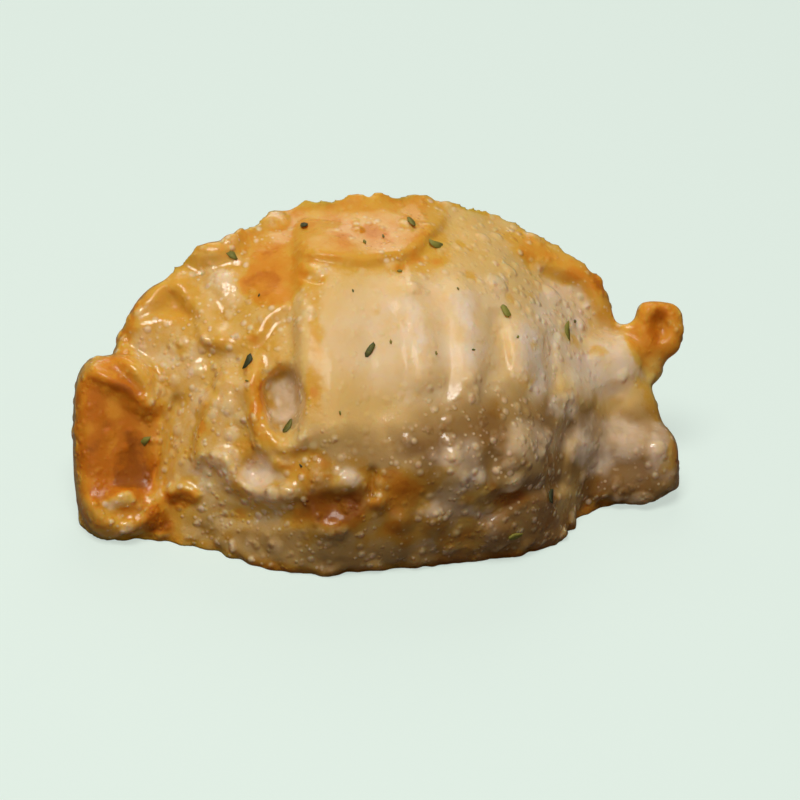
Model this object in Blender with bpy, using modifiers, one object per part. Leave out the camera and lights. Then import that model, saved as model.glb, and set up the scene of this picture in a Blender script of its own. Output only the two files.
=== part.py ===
"""A pan-fried half-moon dumpling with a crimped crest, as one closed solid that rests on its flat base.

The dough is modelled in the frame of its seam: u runs along the base, v climbs the seam from the
base to the rim, and w comes out of the seam towards the front. The seam leans back from upright.
Folds on the front are placed in the face frame, the plane that the front of the dumpling faces:
a runs to the right in it and b upwards, both from the middle of the base, and every point counts
where it is seen in that plane from a view point half a metre in front.
All sizes are in millimetres until the last step, which scales the mesh to metres.
"""

import math

import bmesh
import bpy
import numpy as np
from mathutils import Matrix, Vector, kdtree, noise
from mathutils.bvhtree import BVHTree

MM = 0.001
SEED = 7

# The half-moon
LEAN = math.radians(32.5)
HALF_LENGTH = 37.5
RIM_HEIGHT = 40.5
RIM_POWER_LEFT = 2.2
RIM_POWER_RIGHT = 2.25
DEPTH_BELOW_FLOOR = 15.0
CREST_HALF_THICKNESS = 1.3
BELLY_FRONT = 17.2
BELLY_BACK = 14.5

# The face frame
FACE_TURN = math.radians(9.0)
FACE_TILT = math.radians(30.0)
FACE_RIGHT = np.array((math.cos(FACE_TURN), -math.sin(FACE_TURN), 0.0))
FACE_OUT = np.array((-math.sin(FACE_TURN) * math.cos(FACE_TILT),
                     -math.cos(FACE_TURN) * math.cos(FACE_TILT), math.sin(FACE_TILT)))
FACE_UP = np.cross(FACE_OUT, FACE_RIGHT)
VIEW_POINT = np.array((-150.3, -387.6, 254.0))
VIEW_DISTANCE = VIEW_POINT @ FACE_OUT

# Blisters: how many are tried, their least and greatest radius, and height as a share of radius
BLISTERS = (
    (110, 1.1, 2.1, 0.22),
    (800, 0.6, 1.2, 0.27),
)

# Herb flakes on the front, as places in the face frame, and how many more lie on the back
FLAKE_PLACES = (
    (-10.6, 35.0), (5.9, 32.8), (2.9, 35.4), (14.8, 24.6), (22.8, 22.0), (-2.4, 19.5),
    (-17.6, 18.2), (-12.5, 10.2), (-30.4, 8.4), (20.6, 1.2), (16.0, -3.6), (-19.6, 31.2),
)
BACK_FLAKES = 5
FLAKE_RADIUS = 0.95
FLAKE_THICKNESS = 0.55
FLAKE_CORNERS = 7

# Mesh resolution
FUSE_VOXEL = 0.7
SKIN_VOXEL = 0.42
SKIN_TRIANGLES = 9400
BASE_SNAP = 0.12


def smooth_step(low, high, value):
    """0 below low, 1 above high, and a smooth rise between."""
    t = np.clip((value - low) / (high - low), 0.0, 1.0)
    return t * t * (3.0 - 2.0 * t)


def smooth_curve(value, places, heights):
    """A smooth curve through the given heights, flat beyond its ends."""
    places = np.array(places, dtype=float)
    heights = np.array(heights, dtype=float)
    slopes = np.gradient(heights, places)
    slopes[0] = 0.0
    slopes[-1] = 0.0
    value = np.clip(value, places[0], places[-1])
    k = np.clip(np.searchsorted(places, value, side="right") - 1, 0, len(places) - 2)
    span = places[k + 1] - places[k]
    t = (value - places[k]) / span
    rise = heights[k] * (2 * t ** 3 - 3 * t ** 2 + 1) + heights[k + 1] * (3 * t ** 2 - 2 * t ** 3)
    return rise + span * (slopes[k] * (t ** 3 - 2 * t ** 2 + t) + slopes[k + 1] * (t ** 3 - t ** 2))


def noise_field(points, scale, seed):
    """Smooth noise between about -1 and 1 at each point, with lumps of the given size."""
    shift = Vector((17.3 * seed, 5.1 * seed, 9.7 * seed))
    return np.array([noise.noise(Vector(point) / scale + shift) for point in points])


def read_points(mesh):
    points = np.empty(len(mesh.vertices) * 3, dtype=np.float64)
    mesh.vertices.foreach_get("co", points)
    return points.reshape(-1, 3)


def write_points(mesh, points):
    mesh.vertices.foreach_set("co", points.astype(np.float32).ravel())
    mesh.update()


def read_normals(mesh):
    normals = np.empty(len(mesh.vertices) * 3, dtype=np.float64)
    mesh.vertices.foreach_get("normal", normals)
    return normals.reshape(-1, 3)


def new_sphere(name, segments, rings):
    """A unit sphere as a new object, its poles on Z."""
    mesh = bpy.data.meshes.new(name)
    bm = bmesh.new()
    bmesh.ops.create_uvsphere(bm, u_segments=segments, v_segments=rings, radius=1.0)
    bm.to_mesh(mesh)
    bm.free()
    piece = bpy.data.objects.new(name, mesh)
    bpy.context.scene.collection.objects.link(piece)
    return piece


def join(pieces, name):
    """All pieces as one object, still as separate shells."""
    bm = bmesh.new()
    for piece in pieces:
        bm.from_mesh(piece.data)
        mesh = piece.data
        bpy.data.objects.remove(piece)
        bpy.data.meshes.remove(mesh)
    mesh = bpy.data.meshes.new(name)
    bm.to_mesh(mesh)
    bm.free()
    whole = bpy.data.objects.new(name, mesh)
    bpy.context.scene.collection.objects.link(whole)
    return whole


def bake_modifier(piece, kind, **values):
    """Add one modifier, take its result as the piece's mesh, and drop the modifier."""
    modifier = piece.modifiers.new(kind.lower(), kind)
    for key, value in values.items():
        setattr(modifier, key, value)
    graph = bpy.context.evaluated_depsgraph_get()
    graph.update()
    result = bpy.data.meshes.new_from_object(piece.evaluated_get(graph))
    old = piece.data
    piece.modifiers.clear()
    piece.data = result
    bpy.data.meshes.remove(old)


def seam_to_world(u, v, w):
    """Points of the seam frame in the dumpling's own frame."""
    y = v * math.sin(LEAN) - w * math.cos(LEAN)
    z = v * math.cos(LEAN) + w * math.sin(LEAN)
    return np.stack([u, y, z], axis=-1)


def face_point(a, b, out):
    """The point that is seen at a, b and stands the given distance in front of the face plane."""
    foot = a * FACE_RIGHT + b * FACE_UP
    return foot + (VIEW_POINT - foot) * (out / VIEW_DISTANCE)


def face_places(points):
    """Where points are seen in the face plane."""
    rays = points - VIEW_POINT
    feet = VIEW_POINT - rays * (VIEW_DISTANCE / (rays @ FACE_OUT))[:, None]
    return feet @ FACE_RIGHT, feet @ FACE_UP


def rim_share(u, v):
    """How far a point of the seam lies from the base's middle to the rim, 1 on the rim."""
    height = np.where(v > 0.0, RIM_HEIGHT, DEPTH_BELOW_FLOOR)
    power = np.where(u > 0.0, RIM_POWER_RIGHT, RIM_POWER_LEFT)
    return ((np.abs(u) / HALF_LENGTH) ** power + (np.abs(v) / height) ** power) ** (1.0 / power)


def front_depth(u, v):
    """How far the dough stands out in front of the seam."""
    share = rim_share(u, np.maximum(v, 0.0))
    along = np.clip(1.0 - (np.abs(u) / 39.0) ** 2.3, 0.0, 1.0) ** 0.9
    fall = smooth_curve(share, [0.0, 0.2, 0.35, 0.52, 0.75, 0.87, 0.93, 1.2],
                        [0.97, 1.0, 0.99, 0.86, 0.48, 0.17, 0.0, 0.0])
    lower = 1.0 - np.clip((4.4 - v) / 19.2, 0.0, 1.0) ** 2
    pinch = smooth_step(14.0, 30.0, np.abs(u)) * smooth_step(9.0, -2.0, v)
    return CREST_HALF_THICKNESS + BELLY_FRONT * along * fall * lower * (1.0 - 0.6 * pinch)


def back_depth(u, v):
    """How far the dough stands out behind the seam."""
    share = rim_share(u, np.maximum(v, 0.0))
    along = np.clip(1.0 - (np.abs(u) / 40.0) ** 2.6, 0.0, 1.0)
    fall = smooth_curve(share, [0.0, 0.15, 0.3, 0.45, 0.6, 0.72, 0.82, 1.2],
                        [1.0, 1.0, 0.96, 0.74, 0.38, 0.12, 0.0, 0.0])
    return CREST_HALF_THICKNESS + BELLY_BACK * along * fall


def crest_wave(u, v):
    """The sway of the crest's edge in front of and behind the seam."""
    share = rim_share(u, np.maximum(v, 0.0))
    wave = 1.1 * np.sin(u / 4.1 + 0.8) + 0.7 * np.sin(u / 2.3 + 2.0)
    return wave * smooth_step(0.82, 1.0, share)


def rim_radius(angle):
    """The rim's distance from the base's middle, with the uneven edge that crimping leaves."""
    uneven = 0.5 * np.sin(9.0 * angle + 0.6) + 0.35 * np.sin(17.0 * angle + 2.2)
    return 1.0 / rim_share(np.cos(angle), np.sin(angle)) + np.where(np.sin(angle) > 0.0, uneven, 0.0)


def make_half_moon():
    """The filled half-moon of dough with its flat crest, front and back in one closed form."""
    piece = new_sphere("half_moon", 240, 120)
    ball = read_points(piece.data)
    angle = np.arctan2(ball[:, 1], ball[:, 0])
    latitude = np.arcsin(np.clip(ball[:, 2], -1.0, 1.0))
    share = 1.0 - np.abs(latitude) / (math.pi / 2.0)
    reach = rim_radius(angle) * share
    u = reach * np.cos(angle)
    v = reach * np.sin(angle)
    close = np.sqrt(np.clip(1.0 - share ** 14, 0.0, 1.0))
    w = np.where(latitude > 0.0, front_depth(u, v), -back_depth(u, v)) * close
    w = w + crest_wave(u, v)
    write_points(piece.data, seam_to_world(u, v, w))
    return piece


def make_block(name, place, size, power, turn=0.0, yaw=0.0):
    """A rounded block: a sphere squared off by its power, placed and turned in the face frame.

    The place is a, b and the distance out, the size is across, up and out.
    """
    piece = new_sphere(name, 48, 32)
    ball = read_points(piece.data)
    reach = (np.abs(ball) ** power).sum(axis=1) ** (1.0 / power)
    block = ball / reach[:, None] * (np.array(size) / 2.0)
    spin = Matrix.Rotation(math.radians(turn), 3, "Z") @ Matrix.Rotation(math.radians(yaw), 3, "Y")
    block = block @ np.array(spin).T
    axes = np.stack([FACE_RIGHT, FACE_UP, FACE_OUT])
    write_points(piece.data, block @ axes + face_point(*place))
    return piece


def make_left_ear():
    """The thick folded end on the left, which the face later hollows, and the pleat above it."""
    ear = make_block("left_ear", (-34.0, 7.6, 4.4), (10.4, 22.5, 8.5), 3.6, turn=1.0)
    pleat = make_block("left_pleat", (-29.0, 21.0, 1.6), (9.0, 15.0, 6.0), 2.4, turn=-24.0)
    return [ear, pleat]


def make_right_end():
    """The soft lobes at the right end and the lip below the belly."""
    lobe = make_block("right_lobe", (28.6, 5.4, -3.0), (16.6, 10.4, 11.5), 4.0, turn=3.0, yaw=-6.0)
    side = make_block("right_side", (28.9, 11.2, -4.4), (11.0, 17.0, 10.0), 3.0, turn=18.0)
    cream = make_block("cream_lobe", (25.6, 17.6, -3.0), (14.0, 9.5, 9.5), 2.4, turn=-8.0)
    lip = make_block("lower_lip", (18.0, -0.6, 4.6), (10.4, 6.0, 8.0), 2.4, turn=10.0)
    return [lobe, side, cream, lip]


def make_right_curl():
    """The turned-out tip at the crest's right end: a small leaf on a narrow stem."""
    leaf = make_block("curl_leaf", (34.7, 22.4, -3.0), (6.2, 7.2, 3.8), 3.4, turn=-8.0)
    left_knob = make_block("curl_left_knob", (33.2, 24.3, -2.8), (3.2, 3.4, 4.2), 2.4)
    stem = make_block("curl_stem", (33.3, 18.8, -3.8), (4.6, 8.0, 3.8), 2.2, turn=-20.0)
    web = make_block("curl_web", (31.8, 20.4, -4.2), (6.6, 4.4, 3.6), 2.4, turn=-40.0)
    return [leaf, left_knob, stem, web]


def curve_points(points, steps=8):
    """A smooth run of points through the given ones."""
    knots = np.array(points, dtype=float)
    ends = np.vstack([2 * knots[0] - knots[1], knots, 2 * knots[-1] - knots[-2]])
    run = []
    for k in range(1, len(ends) - 2):
        for step in range(steps):
            t = step / steps
            run.append(0.5 * (2 * ends[k] + (ends[k + 1] - ends[k - 1]) * t
                              + (2 * ends[k - 1] - 5 * ends[k] + 4 * ends[k + 1] - ends[k + 2]) * t ** 2
                              + (3 * ends[k] - ends[k - 1] - 3 * ends[k + 1] + ends[k + 2]) * t ** 3))
    run.append(ends[-2])
    return np.array(run)


def ridge(a, b, points, height, left, right):
    """A ridge along a curve, which falls off within left and right of it, as seen along its way."""
    run = curve_points(points)
    nearest = np.full(len(a), 1e9)
    side = np.zeros(len(a))
    way = np.zeros(len(a))
    for k in range(len(run) - 1):
        step = run[k + 1] - run[k]
        length = math.hypot(step[0], step[1])
        da = a - run[k, 0]
        db = b - run[k, 1]
        t = np.clip((da * step[0] + db * step[1]) / length ** 2, 0.0, 1.0)
        gap = np.hypot(da - t * step[0], db - t * step[1])
        closer = gap < nearest
        nearest = np.where(closer, gap, nearest)
        side = np.where(closer, da * step[1] - db * step[0], side)
        way = np.where(closer, (k + t) / (len(run) - 1), way)
    reach = np.where(side > 0.0, right, left)
    slope = np.clip(1.0 - (nearest / reach) ** 2, 0.0, 1.0) ** 1.5
    ends = smooth_step(0.0, 0.18, way) * smooth_step(1.0, 0.82, way)
    return height * slope * ends


def mound(a, b, centre, radii, height, turn=0.0, power=2.0):
    """A rounded mound, or with a negative height a hollow, over an ellipse."""
    c = math.cos(math.radians(turn))
    s = math.sin(math.radians(turn))
    da = a - centre[0]
    db = b - centre[1]
    along = (da * c + db * s) / radii[0]
    across = (db * c - da * s) / radii[1]
    return height * np.clip(1.0 - (along ** 2 + across ** 2) ** (power / 2.0), 0.0, 1.0) ** 1.5


def left_ear_relief(a, b):
    """The sunken face of the folded end, the sloping ridges above it and the lip below it."""
    below_ridges = 17.4 - 0.78 * (a + 37.5) - b
    across = smooth_step(-41.0, -34.0, a) * smooth_step(-28.4, -30.6, a)
    rise = -1.1 * across * smooth_step(0.2, 4.2, b) * smooth_step(-0.8, 2.0, below_ridges)
    rise += mound(a, b, (-31.6, 5.4), (2.6, 4.4), -0.6)
    rise += ridge(a, b, [(-37.4, 21.0), (-34.4, 20.0), (-31.6, 17.4), (-29.4, 13.8), (-28.8, 11.0)], 1.3, 1.9, 1.5)
    rise += ridge(a, b, [(-38.4, 17.2), (-35.0, 16.2), (-31.6, 13.8), (-29.2, 11.0)], 0.6, 1.1, 1.1)
    rise += mound(a, b, (-33.2, 1.4), (2.6, 1.6), 1.0)
    rise += ridge(a, b, [(-38.6, 2.0), (-36.0, -1.2), (-32.0, -1.8), (-29.4, -1.0)], 1.0, 1.2, 1.6)
    return rise


def left_fold_relief(a, b):
    """The overlapping facets between the folded end and the pocket."""
    rise = ridge(a, b, [(-36.0, 21.0), (-31.4, 25.6), (-27.6, 29.6)], 1.2, 1.5, 3.0)
    rise += ridge(a, b, [(-21.6, 18.6), (-23.0, 22.4), (-25.0, 26.0), (-27.4, 29.8)], 1.5, 1.6, 3.2)
    rise += ridge(a, b, [(-33.0, 21.4), (-28.6, 23.0), (-25.0, 22.0), (-22.4, 19.0)], 1.2, 1.6, 3.6)
    rise += mound(a, b, (-26.8, 18.0), (4.8, 4.8), 1.0)
    rise += ridge(a, b, [(-25.6, 31.0), (-22.0, 33.2), (-18.0, 34.2)], 1.2, 1.2, 3.4)
    rise += mound(a, b, (-21.6, 31.6), (3.0, 2.0), 0.9)
    rise += mound(a, b, (-20.6, 27.4), (3.4, 3.6), 0.9)
    rise += ridge(a, b, [(-22.6, 21.4), (-20.0, 20.2), (-17.2, 21.6), (-15.2, 24.4), (-11.2, 25.6)], 0.9, 3.6, 1.7)
    rise += ridge(a, b, [(-23.6, 4.0), (-23.8, 8.6), (-22.2, 13.6), (-19.6, 18.6)], 1.6, 1.0, 5.0)
    rise += ridge(a, b, [(-28.6, 1.0), (-28.0, 6.0), (-27.4, 11.5), (-26.0, 14.5)], -1.2, 0.9, 1.6)
    rise += mound(a, b, (-29.2, -0.8), (1.7, 2.8), 1.2)
    rise += ridge(a, b, [(-28.4, 1.8), (-25.6, 2.4), (-23.4, 1.0)], 1.1, 1.1, 1.3)
    return rise


def pocket_relief(a, b):
    """The deep pocket where the smooth panel overlaps the pleat beside it."""
    rise = ridge(a, b, [(-10.6, 6.0), (-10.2, 11.0), (-10.0, 16.0), (-10.6, 22.0), (-10.5, 28.0), (-10.0, 38.0)],
                 1.7, 1.7, 8.0)
    rise += mound(a, b, (-13.2, 13.8), (2.9, 4.6), -2.7, turn=-6.0, power=3.0)
    rise += ridge(a, b, [(-16.6, 21.0), (-17.2, 15.6), (-16.4, 11.0), (-14.2, 8.0), (-11.8, 8.0), (-10.0, 10.0)],
                  1.2, 1.5, 1.6)
    rise += ridge(a, b, [(-17.8, 13.0), (-17.0, 9.4), (-15.2, 6.4), (-12.6, 4.8)], 0.9, 1.1, 1.0)
    rise += mound(a, b, (-16.4, 4.8), (2.4, 2.6), -2.0, turn=-38.0)
    rise += ridge(a, b, [(-21.0, 7.8), (-20.0, 4.6), (-17.8, 2.4), (-14.8, 1.7), (-11.0, 2.9)], 1.5, 1.3, 1.9)
    rise += ridge(a, b, [(-23.0, -0.4), (-16.0, -1.2), (-9.0, -0.4)], -0.5, 1.6, 1.6)
    return rise


def panel_relief(a, b):
    """The smooth panel below the crest, the crest's turned edge and the pleats to its right."""
    rise = ridge(a, b, [(-13.0, 32.6), (-9.0, 31.8), (-4.0, 31.3), (0.0, 31.5), (3.6, 32.8), (6.0, 35.6), (8.0, 38.0)],
                 1.4, 6.0, 1.2)
    rise += ridge(a, b, [(-11.6, 28.9), (-9.8, 28.6), (-8.0, 28.2)], -0.9, 0.5, 0.5)
    rise += mound(a, b, (-9.0, 29.8), (1.6, 0.9), 0.7)
    rise += ridge(a, b, [(4.8, 13.0), (4.8, 19.0), (3.6, 24.0), (0.6, 29.4)], 0.9, 2.8, 2.6)
    rise += ridge(a, b, [(9.2, 12.0), (10.4, 18.0), (9.8, 24.0), (7.2, 29.4)], 1.1, 2.8, 2.4)
    rise += mound(a, b, (17.4, 19.4), (2.9, 5.4), 1.6, turn=4.0)
    rise += ridge(a, b, [(21.0, 13.5), (20.8, 18.0), (20.4, 23.0)], -0.6, 1.2, 1.2)
    rise += ridge(a, b, [(13.8, 15.6), (14.0, 20.0), (13.6, 25.0)], -0.8, 1.5, 1.5)
    rise += ridge(a, b, [(12.0, 33.2), (19.0, 29.0), (24.0, 26.6), (26.8, 22.6), (31.0, 19.2)], -0.9, 1.2, 1.8)
    rise += ridge(a, b, [(12.6, 35.2), (20.0, 31.2), (25.6, 28.6), (28.6, 24.4), (32.0, 21.4)], 1.5, 2.0, 1.5)
    rise += mound(a, b, (34.7, 22.6), (1.8, 2.6), -1.2)
    return rise


def belly_relief(a, b):
    """The full belly on the right, its uneven lower edge and the lobes at the right end."""
    rise = mound(a, b, (9.5, 7.0), (13.5, 8.5), 2.2)
    rise += mound(a, b, (8.2, 5.8), (3.0, 3.2), 0.9)
    rise += mound(a, b, (17.2, 7.6), (3.4, 3.8), 1.3)
    rise += mound(a, b, (13.0, 5.0), (1.6, 3.4), -1.0)
    rise += ridge(a, b, [(21.8, 1.2), (21.6, 4.4), (22.2, 8.4), (24.2, 11.4)], -1.9, 1.7, 2.6)
    rise += ridge(a, b, [(21.8, 10.8), (25.0, 11.2), (28.0, 13.0), (30.6, 14.6)], -0.4, 2.2, 2.0)
    rise += mound(a, b, (23.8, 14.4), (3.8, 2.8), 1.0)
    rise += ridge(a, b, [(22.0, 7.0), (26.0, 7.6), (32.0, 7.4), (36.0, 6.4)], 0.4, 2.6, 2.6)
    rise += ridge(a, b, [(11.0, -1.4), (14.0, 0.2), (18.0, 2.2), (23.4, 2.4)], -1.3, 1.9, 1.5)
    rise += mound(a, b, (14.0, -3.4), (3.4, 2.0), 1.0)
    rise += mound(a, b, (6.0, -1.6), (2.6, 2.2), 1.0)
    rise += mound(a, b, (-1.4, 0.4), (1.7, 1.4), 1.0)
    rise += mound(a, b, (1.8, -1.8), (2.2, 1.5), 0.9)
    rise += mound(a, b, (-6.5, 0.4), (3.4, 2.4), -1.4)
    rise += ridge(a, b, [(-2.6, 0.6), (-2.2, 3.0), (-1.8, 5.4)], -1.0, 0.9, 0.9)
    rise += mound(a, b, (-5.4, 3.4), (1.8, 1.3), 0.8)
    rise += mound(a, b, (-7.0, -2.8), (2.6, 1.5), 0.8)
    return rise


def seam_places(points):
    """Where points lie along the seam and how far up it."""
    return points[:, 0], points[:, 1] * math.sin(LEAN) + points[:, 2] * math.cos(LEAN)


def back_relief(points):
    """The soft dents and swells of the plain back, and the crimps below its rim."""
    x = points[:, 0]
    z = points[:, 2]
    rise = ridge(x, z, [(-24.0, 22.0), (-21.0, 15.0), (-22.0, 7.0)], -0.9, 2.6, 3.4)
    rise += ridge(x, z, [(-8.0, 25.0), (-9.0, 18.0), (-6.0, 10.0)], 0.8, 3.4, 2.4)
    rise += ridge(x, z, [(6.0, 25.0), (8.0, 17.0), (5.0, 9.0)], -0.8, 2.4, 3.4)
    rise += ridge(x, z, [(20.0, 22.0), (22.0, 15.0), (19.0, 8.0)], 0.9, 3.4, 2.2)
    u, v = seam_places(points)
    share = rim_share(u, v)
    crimps = np.sin(25.0 * np.arctan2(v, u) + 1.5 * noise_field(points, 9.0, 15))
    return rise + 0.9 * crimps * smooth_step(0.66, 0.82, share) * smooth_step(1.02, 0.92, share)


def front_share(piece):
    """Which points belong to the front: 1 where the skin faces forwards, 0 where it faces back."""
    return smooth_step(-0.05, 0.35, read_normals(piece.data) @ FACE_OUT)


def carve(piece):
    """Move the front in and out towards the view point by all its folds, and dent the back."""
    points = read_points(piece.data)
    facing = front_share(piece)
    a, b = face_places(points)
    a = a + 0.5 * noise_field(points, 4.5, 1)
    b = b + 0.5 * noise_field(points, 4.5, 2)
    rise = left_ear_relief(a, b) + left_fold_relief(a, b) + pocket_relief(a, b)
    rise += panel_relief(a, b) + belly_relief(a, b)
    behind = smooth_step(0.0, -0.5, read_normals(piece.data) @ FACE_OUT)
    dents = back_relief(points) + 0.5 * noise_field(points, 6.0, 13)
    points = points + (rise * facing / VIEW_DISTANCE)[:, None] * (VIEW_POINT - points)
    write_points(piece.data, points - (dents * behind)[:, None] * FACE_OUT)


def surface_tree(piece):
    """A search tree of the piece's faces, and the piece's extent."""
    mesh = piece.data
    points = read_points(mesh)
    faces = [tuple(polygon.vertices) for polygon in mesh.polygons]
    return BVHTree.FromPolygons([Vector(point) for point in points], faces), points.min(axis=0), points.max(axis=0)


def scatter_points(piece, count, rng):
    """Places spread over the whole surface: where random lines through the piece first meet it."""
    tree, low, high = surface_tree(piece)
    middle = (low + high) / 2.0
    places = []
    for _ in range(count):
        target = low + (high - low) * rng.random(3)
        direction = rng.normal(size=3)
        direction /= np.linalg.norm(direction)
        start = middle + direction * 200.0
        hit = tree.ray_cast(Vector(start), Vector(target - start).normalized())
        if hit[0] is not None:
            places.append(np.array(hit[0]))
    return np.array(places)


def blister_density(points, facing):
    """How readily blisters form: most on the left folds and the crest, least on the smooth panel."""
    a, b = face_places(points)
    panel = mound(a, b, (-2.5, 19.0), (9.0, 13.5), 1.0, power=3.0) + mound(a, b, (11.0, 22.0), (9.0, 8.0), 0.7)
    lobes = mound(a, b, (28.5, 12.0), (8.0, 12.0), 0.7)
    smooth_parts = mound(a, b, (-13.2, 13.8), (2.6, 4.4), 1.0) + mound(a, b, (-34.4, 9.0), (5.4, 10.0), 1.0)
    smooth_parts += mound(a, b, (-14.0, 28.6), (5.0, 4.6), 1.0) + mound(a, b, (-27.4, 26.0), (3.6, 4.4), 0.7)
    smooth_parts += 0.15 * smooth_step(29.0, 32.0, b)
    left = smooth_step(-9.0, -18.0, a)
    belly = mound(a, b, (17.4, 7.4), (5.0, 5.0), 1.0) + mound(a, b, (9.0, 3.4), (5.0, 5.0), 0.8)
    patchy = 0.35 * noise_field(points, 7.0, 5)
    front = 0.42 + 0.25 * left + belly - panel - lobes - smooth_parts
    return np.clip(front * facing + 0.6 * (1.0 - facing) + patchy, 0.08, 1.0)


def blister_rise(piece):
    """How far each point of the fried skin is lifted by blisters, shallow domes of all sizes."""
    rng = np.random.default_rng(SEED)
    points = read_points(piece.data)
    tree = kdtree.KDTree(len(points))
    for index, point in enumerate(points):
        tree.insert(point, index)
    tree.balance()
    rise = np.zeros(len(points))
    density = blister_density(points, front_share(piece))
    for count, least, greatest, steepness in BLISTERS:
        places = scatter_points(piece, count, rng)
        chances = rng.random(len(places))
        radii = least + (greatest - least) * rng.random(len(places)) ** 2
        for place, chance, radius in zip(places, chances, radii):
            if chance > density[tree.find(place)[1]] or place[2] < 0.5:
                continue
            for _, index, gap in tree.find_range(Vector(place), radius):
                dome = steepness * radius * (1.0 - (gap / radius) ** 2) ** 0.8
                rise[index] = max(rise[index], dome)
    return rise


def uneven_rise(points):
    """The slow swell and the fine crinkle of dough that has fried."""
    return 0.12 * noise_field(points, 3.0, 3) + 0.25 * noise_field(points, 7.0, 4)


def lift(piece, rise):
    """Move the surface out along its normals, but leave the underside flat."""
    points = read_points(piece.data)
    clear = smooth_step(0.0, 0.8, points[:, 2])
    write_points(piece.data, points + (rise * clear)[:, None] * read_normals(piece.data))


def keep_largest(piece):
    """Drop loose scraps, so that one closed body is left."""
    bm = bmesh.new()
    bm.from_mesh(piece.data)
    bm.verts.ensure_lookup_table()
    unseen = set(bm.verts)
    shells = []
    while unseen:
        shell = []
        queue = [unseen.pop()]
        while queue:
            vert = queue.pop()
            shell.append(vert)
            for edge in vert.link_edges:
                other = edge.other_vert(vert)
                if other in unseen:
                    unseen.remove(other)
                    queue.append(other)
        shells.append(shell)
    shells.sort(key=len)
    for shell in shells[:-1]:
        bmesh.ops.delete(bm, geom=shell, context="VERTS")
    bm.to_mesh(piece.data)
    bm.free()


def ruffle_edge(piece):
    """Push the foot of the dumpling in and out, for the ragged edge that fried against the pan."""
    points = read_points(piece.data)
    outward = read_normals(piece.data) * (1.0, 1.0, 0.0)
    ruffle = 0.9 * noise_field(points, 3.4, 6) + 0.5 * noise_field(points, 1.5, 7)
    foot = smooth_step(4.0, 0.6, points[:, 2])
    write_points(piece.data, points + (ruffle * foot)[:, None] * outward)


def cut_base(piece):
    """Cut the underside flat, at height 0."""
    bm = bmesh.new()
    bm.from_mesh(piece.data)
    for vert in bm.verts:
        if abs(vert.co.z) < BASE_SNAP:
            vert.co.z = 0.0
    everything = bm.verts[:] + bm.edges[:] + bm.faces[:]
    bmesh.ops.bisect_plane(bm, geom=everything, dist=0.0001, plane_co=(0.0, 0.0, 0.0),
                           plane_no=(0.0, 0.0, 1.0), clear_inner=True)
    rim = [edge for edge in bm.edges if edge.is_boundary]
    bmesh.ops.contextual_create(bm, geom=rim)
    bmesh.ops.recalc_face_normals(bm, faces=bm.faces[:])
    bm.to_mesh(piece.data)
    bm.free()


def centre_on_base(piece):
    """Move the piece so that its origin is the middle of its box, at the level that it rests on."""
    points = read_points(piece.data)
    middle = (points.min(axis=0) + points.max(axis=0)) / 2.0
    middle[2] = 0.0
    write_points(piece.data, points - middle)


def make_skin():
    """The whole dumpling as one closed skin, in millimetres."""
    skin = join([make_half_moon()] + make_left_ear() + make_right_end() + make_right_curl(), "gyoza")
    bake_modifier(skin, "REMESH", mode="VOXEL", voxel_size=FUSE_VOXEL)
    bake_modifier(skin, "SMOOTH", factor=0.5, iterations=4)
    bake_modifier(skin, "REMESH", mode="VOXEL", voxel_size=SKIN_VOXEL)
    carve(skin)
    bake_modifier(skin, "REMESH", mode="VOXEL", voxel_size=SKIN_VOXEL)
    bake_modifier(skin, "SMOOTH", factor=0.5, iterations=2)
    keep_largest(skin)
    ruffle_edge(skin)
    cut_base(skin)
    lift(skin, blister_rise(skin) + uneven_rise(read_points(skin.data)))
    return skin


def make_flake(name, place, normal, spin, radius, rng):
    """One torn herb flake: a thin plate with a ragged outline, lying on the surface."""
    bm = bmesh.new()
    rim = []
    for corner in range(FLAKE_CORNERS):
        angle = 2.0 * math.pi * corner / FLAKE_CORNERS
        reach = radius * (0.6 + 0.5 * rng.random())
        rim.append(bm.verts.new((1.5 * reach * math.cos(angle), 0.7 * reach * math.sin(angle),
                                 -FLAKE_THICKNESS / 2.0)))
    face = bm.faces.new(rim)
    grown = bmesh.ops.extrude_face_region(bm, geom=[face])
    for vert in grown["geom"]:
        if isinstance(vert, bmesh.types.BMVert):
            vert.co.z += FLAKE_THICKNESS
    bmesh.ops.recalc_face_normals(bm, faces=bm.faces[:])
    mesh = bpy.data.meshes.new(name)
    turn = Vector((0.0, 0.0, 1.0)).rotation_difference(Vector(normal)).to_matrix().to_4x4()
    bmesh.ops.transform(bm, matrix=Matrix.Translation(Vector(place)) @ turn @ Matrix.Rotation(spin, 4, "Z"),
                        verts=bm.verts[:])
    bm.to_mesh(mesh)
    bm.free()
    flake = bpy.data.objects.new(name, mesh)
    bpy.context.scene.collection.objects.link(flake)
    return flake


def make_flakes(piece):
    """Herb flakes: the front ones at their places, the rest scattered over the back."""
    rng = np.random.default_rng(SEED + 1)
    tree, low, high = surface_tree(piece)
    flakes = []
    hits = []
    for a, b in FLAKE_PLACES:
        start = face_point(a, b, 120.0)
        hits.append(tree.ray_cast(Vector(start), Vector(face_point(a, b, 0.0) - start).normalized()))
    for _ in range(BACK_FLAKES):
        start = Vector((rng.uniform(-26.0, 26.0), 120.0, rng.uniform(12.0, 28.0)))
        hits.append(tree.ray_cast(start, Vector((0.0, -1.0, 0.0))))
    for number, (place, normal, _, _) in enumerate(hits):
        if place is not None:
            radius = FLAKE_RADIUS * rng.uniform(0.75, 1.15)
            flakes.append(make_flake(f"flake_{number}", place, normal, rng.uniform(0.0, math.pi), radius, rng))
    return flakes


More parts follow.
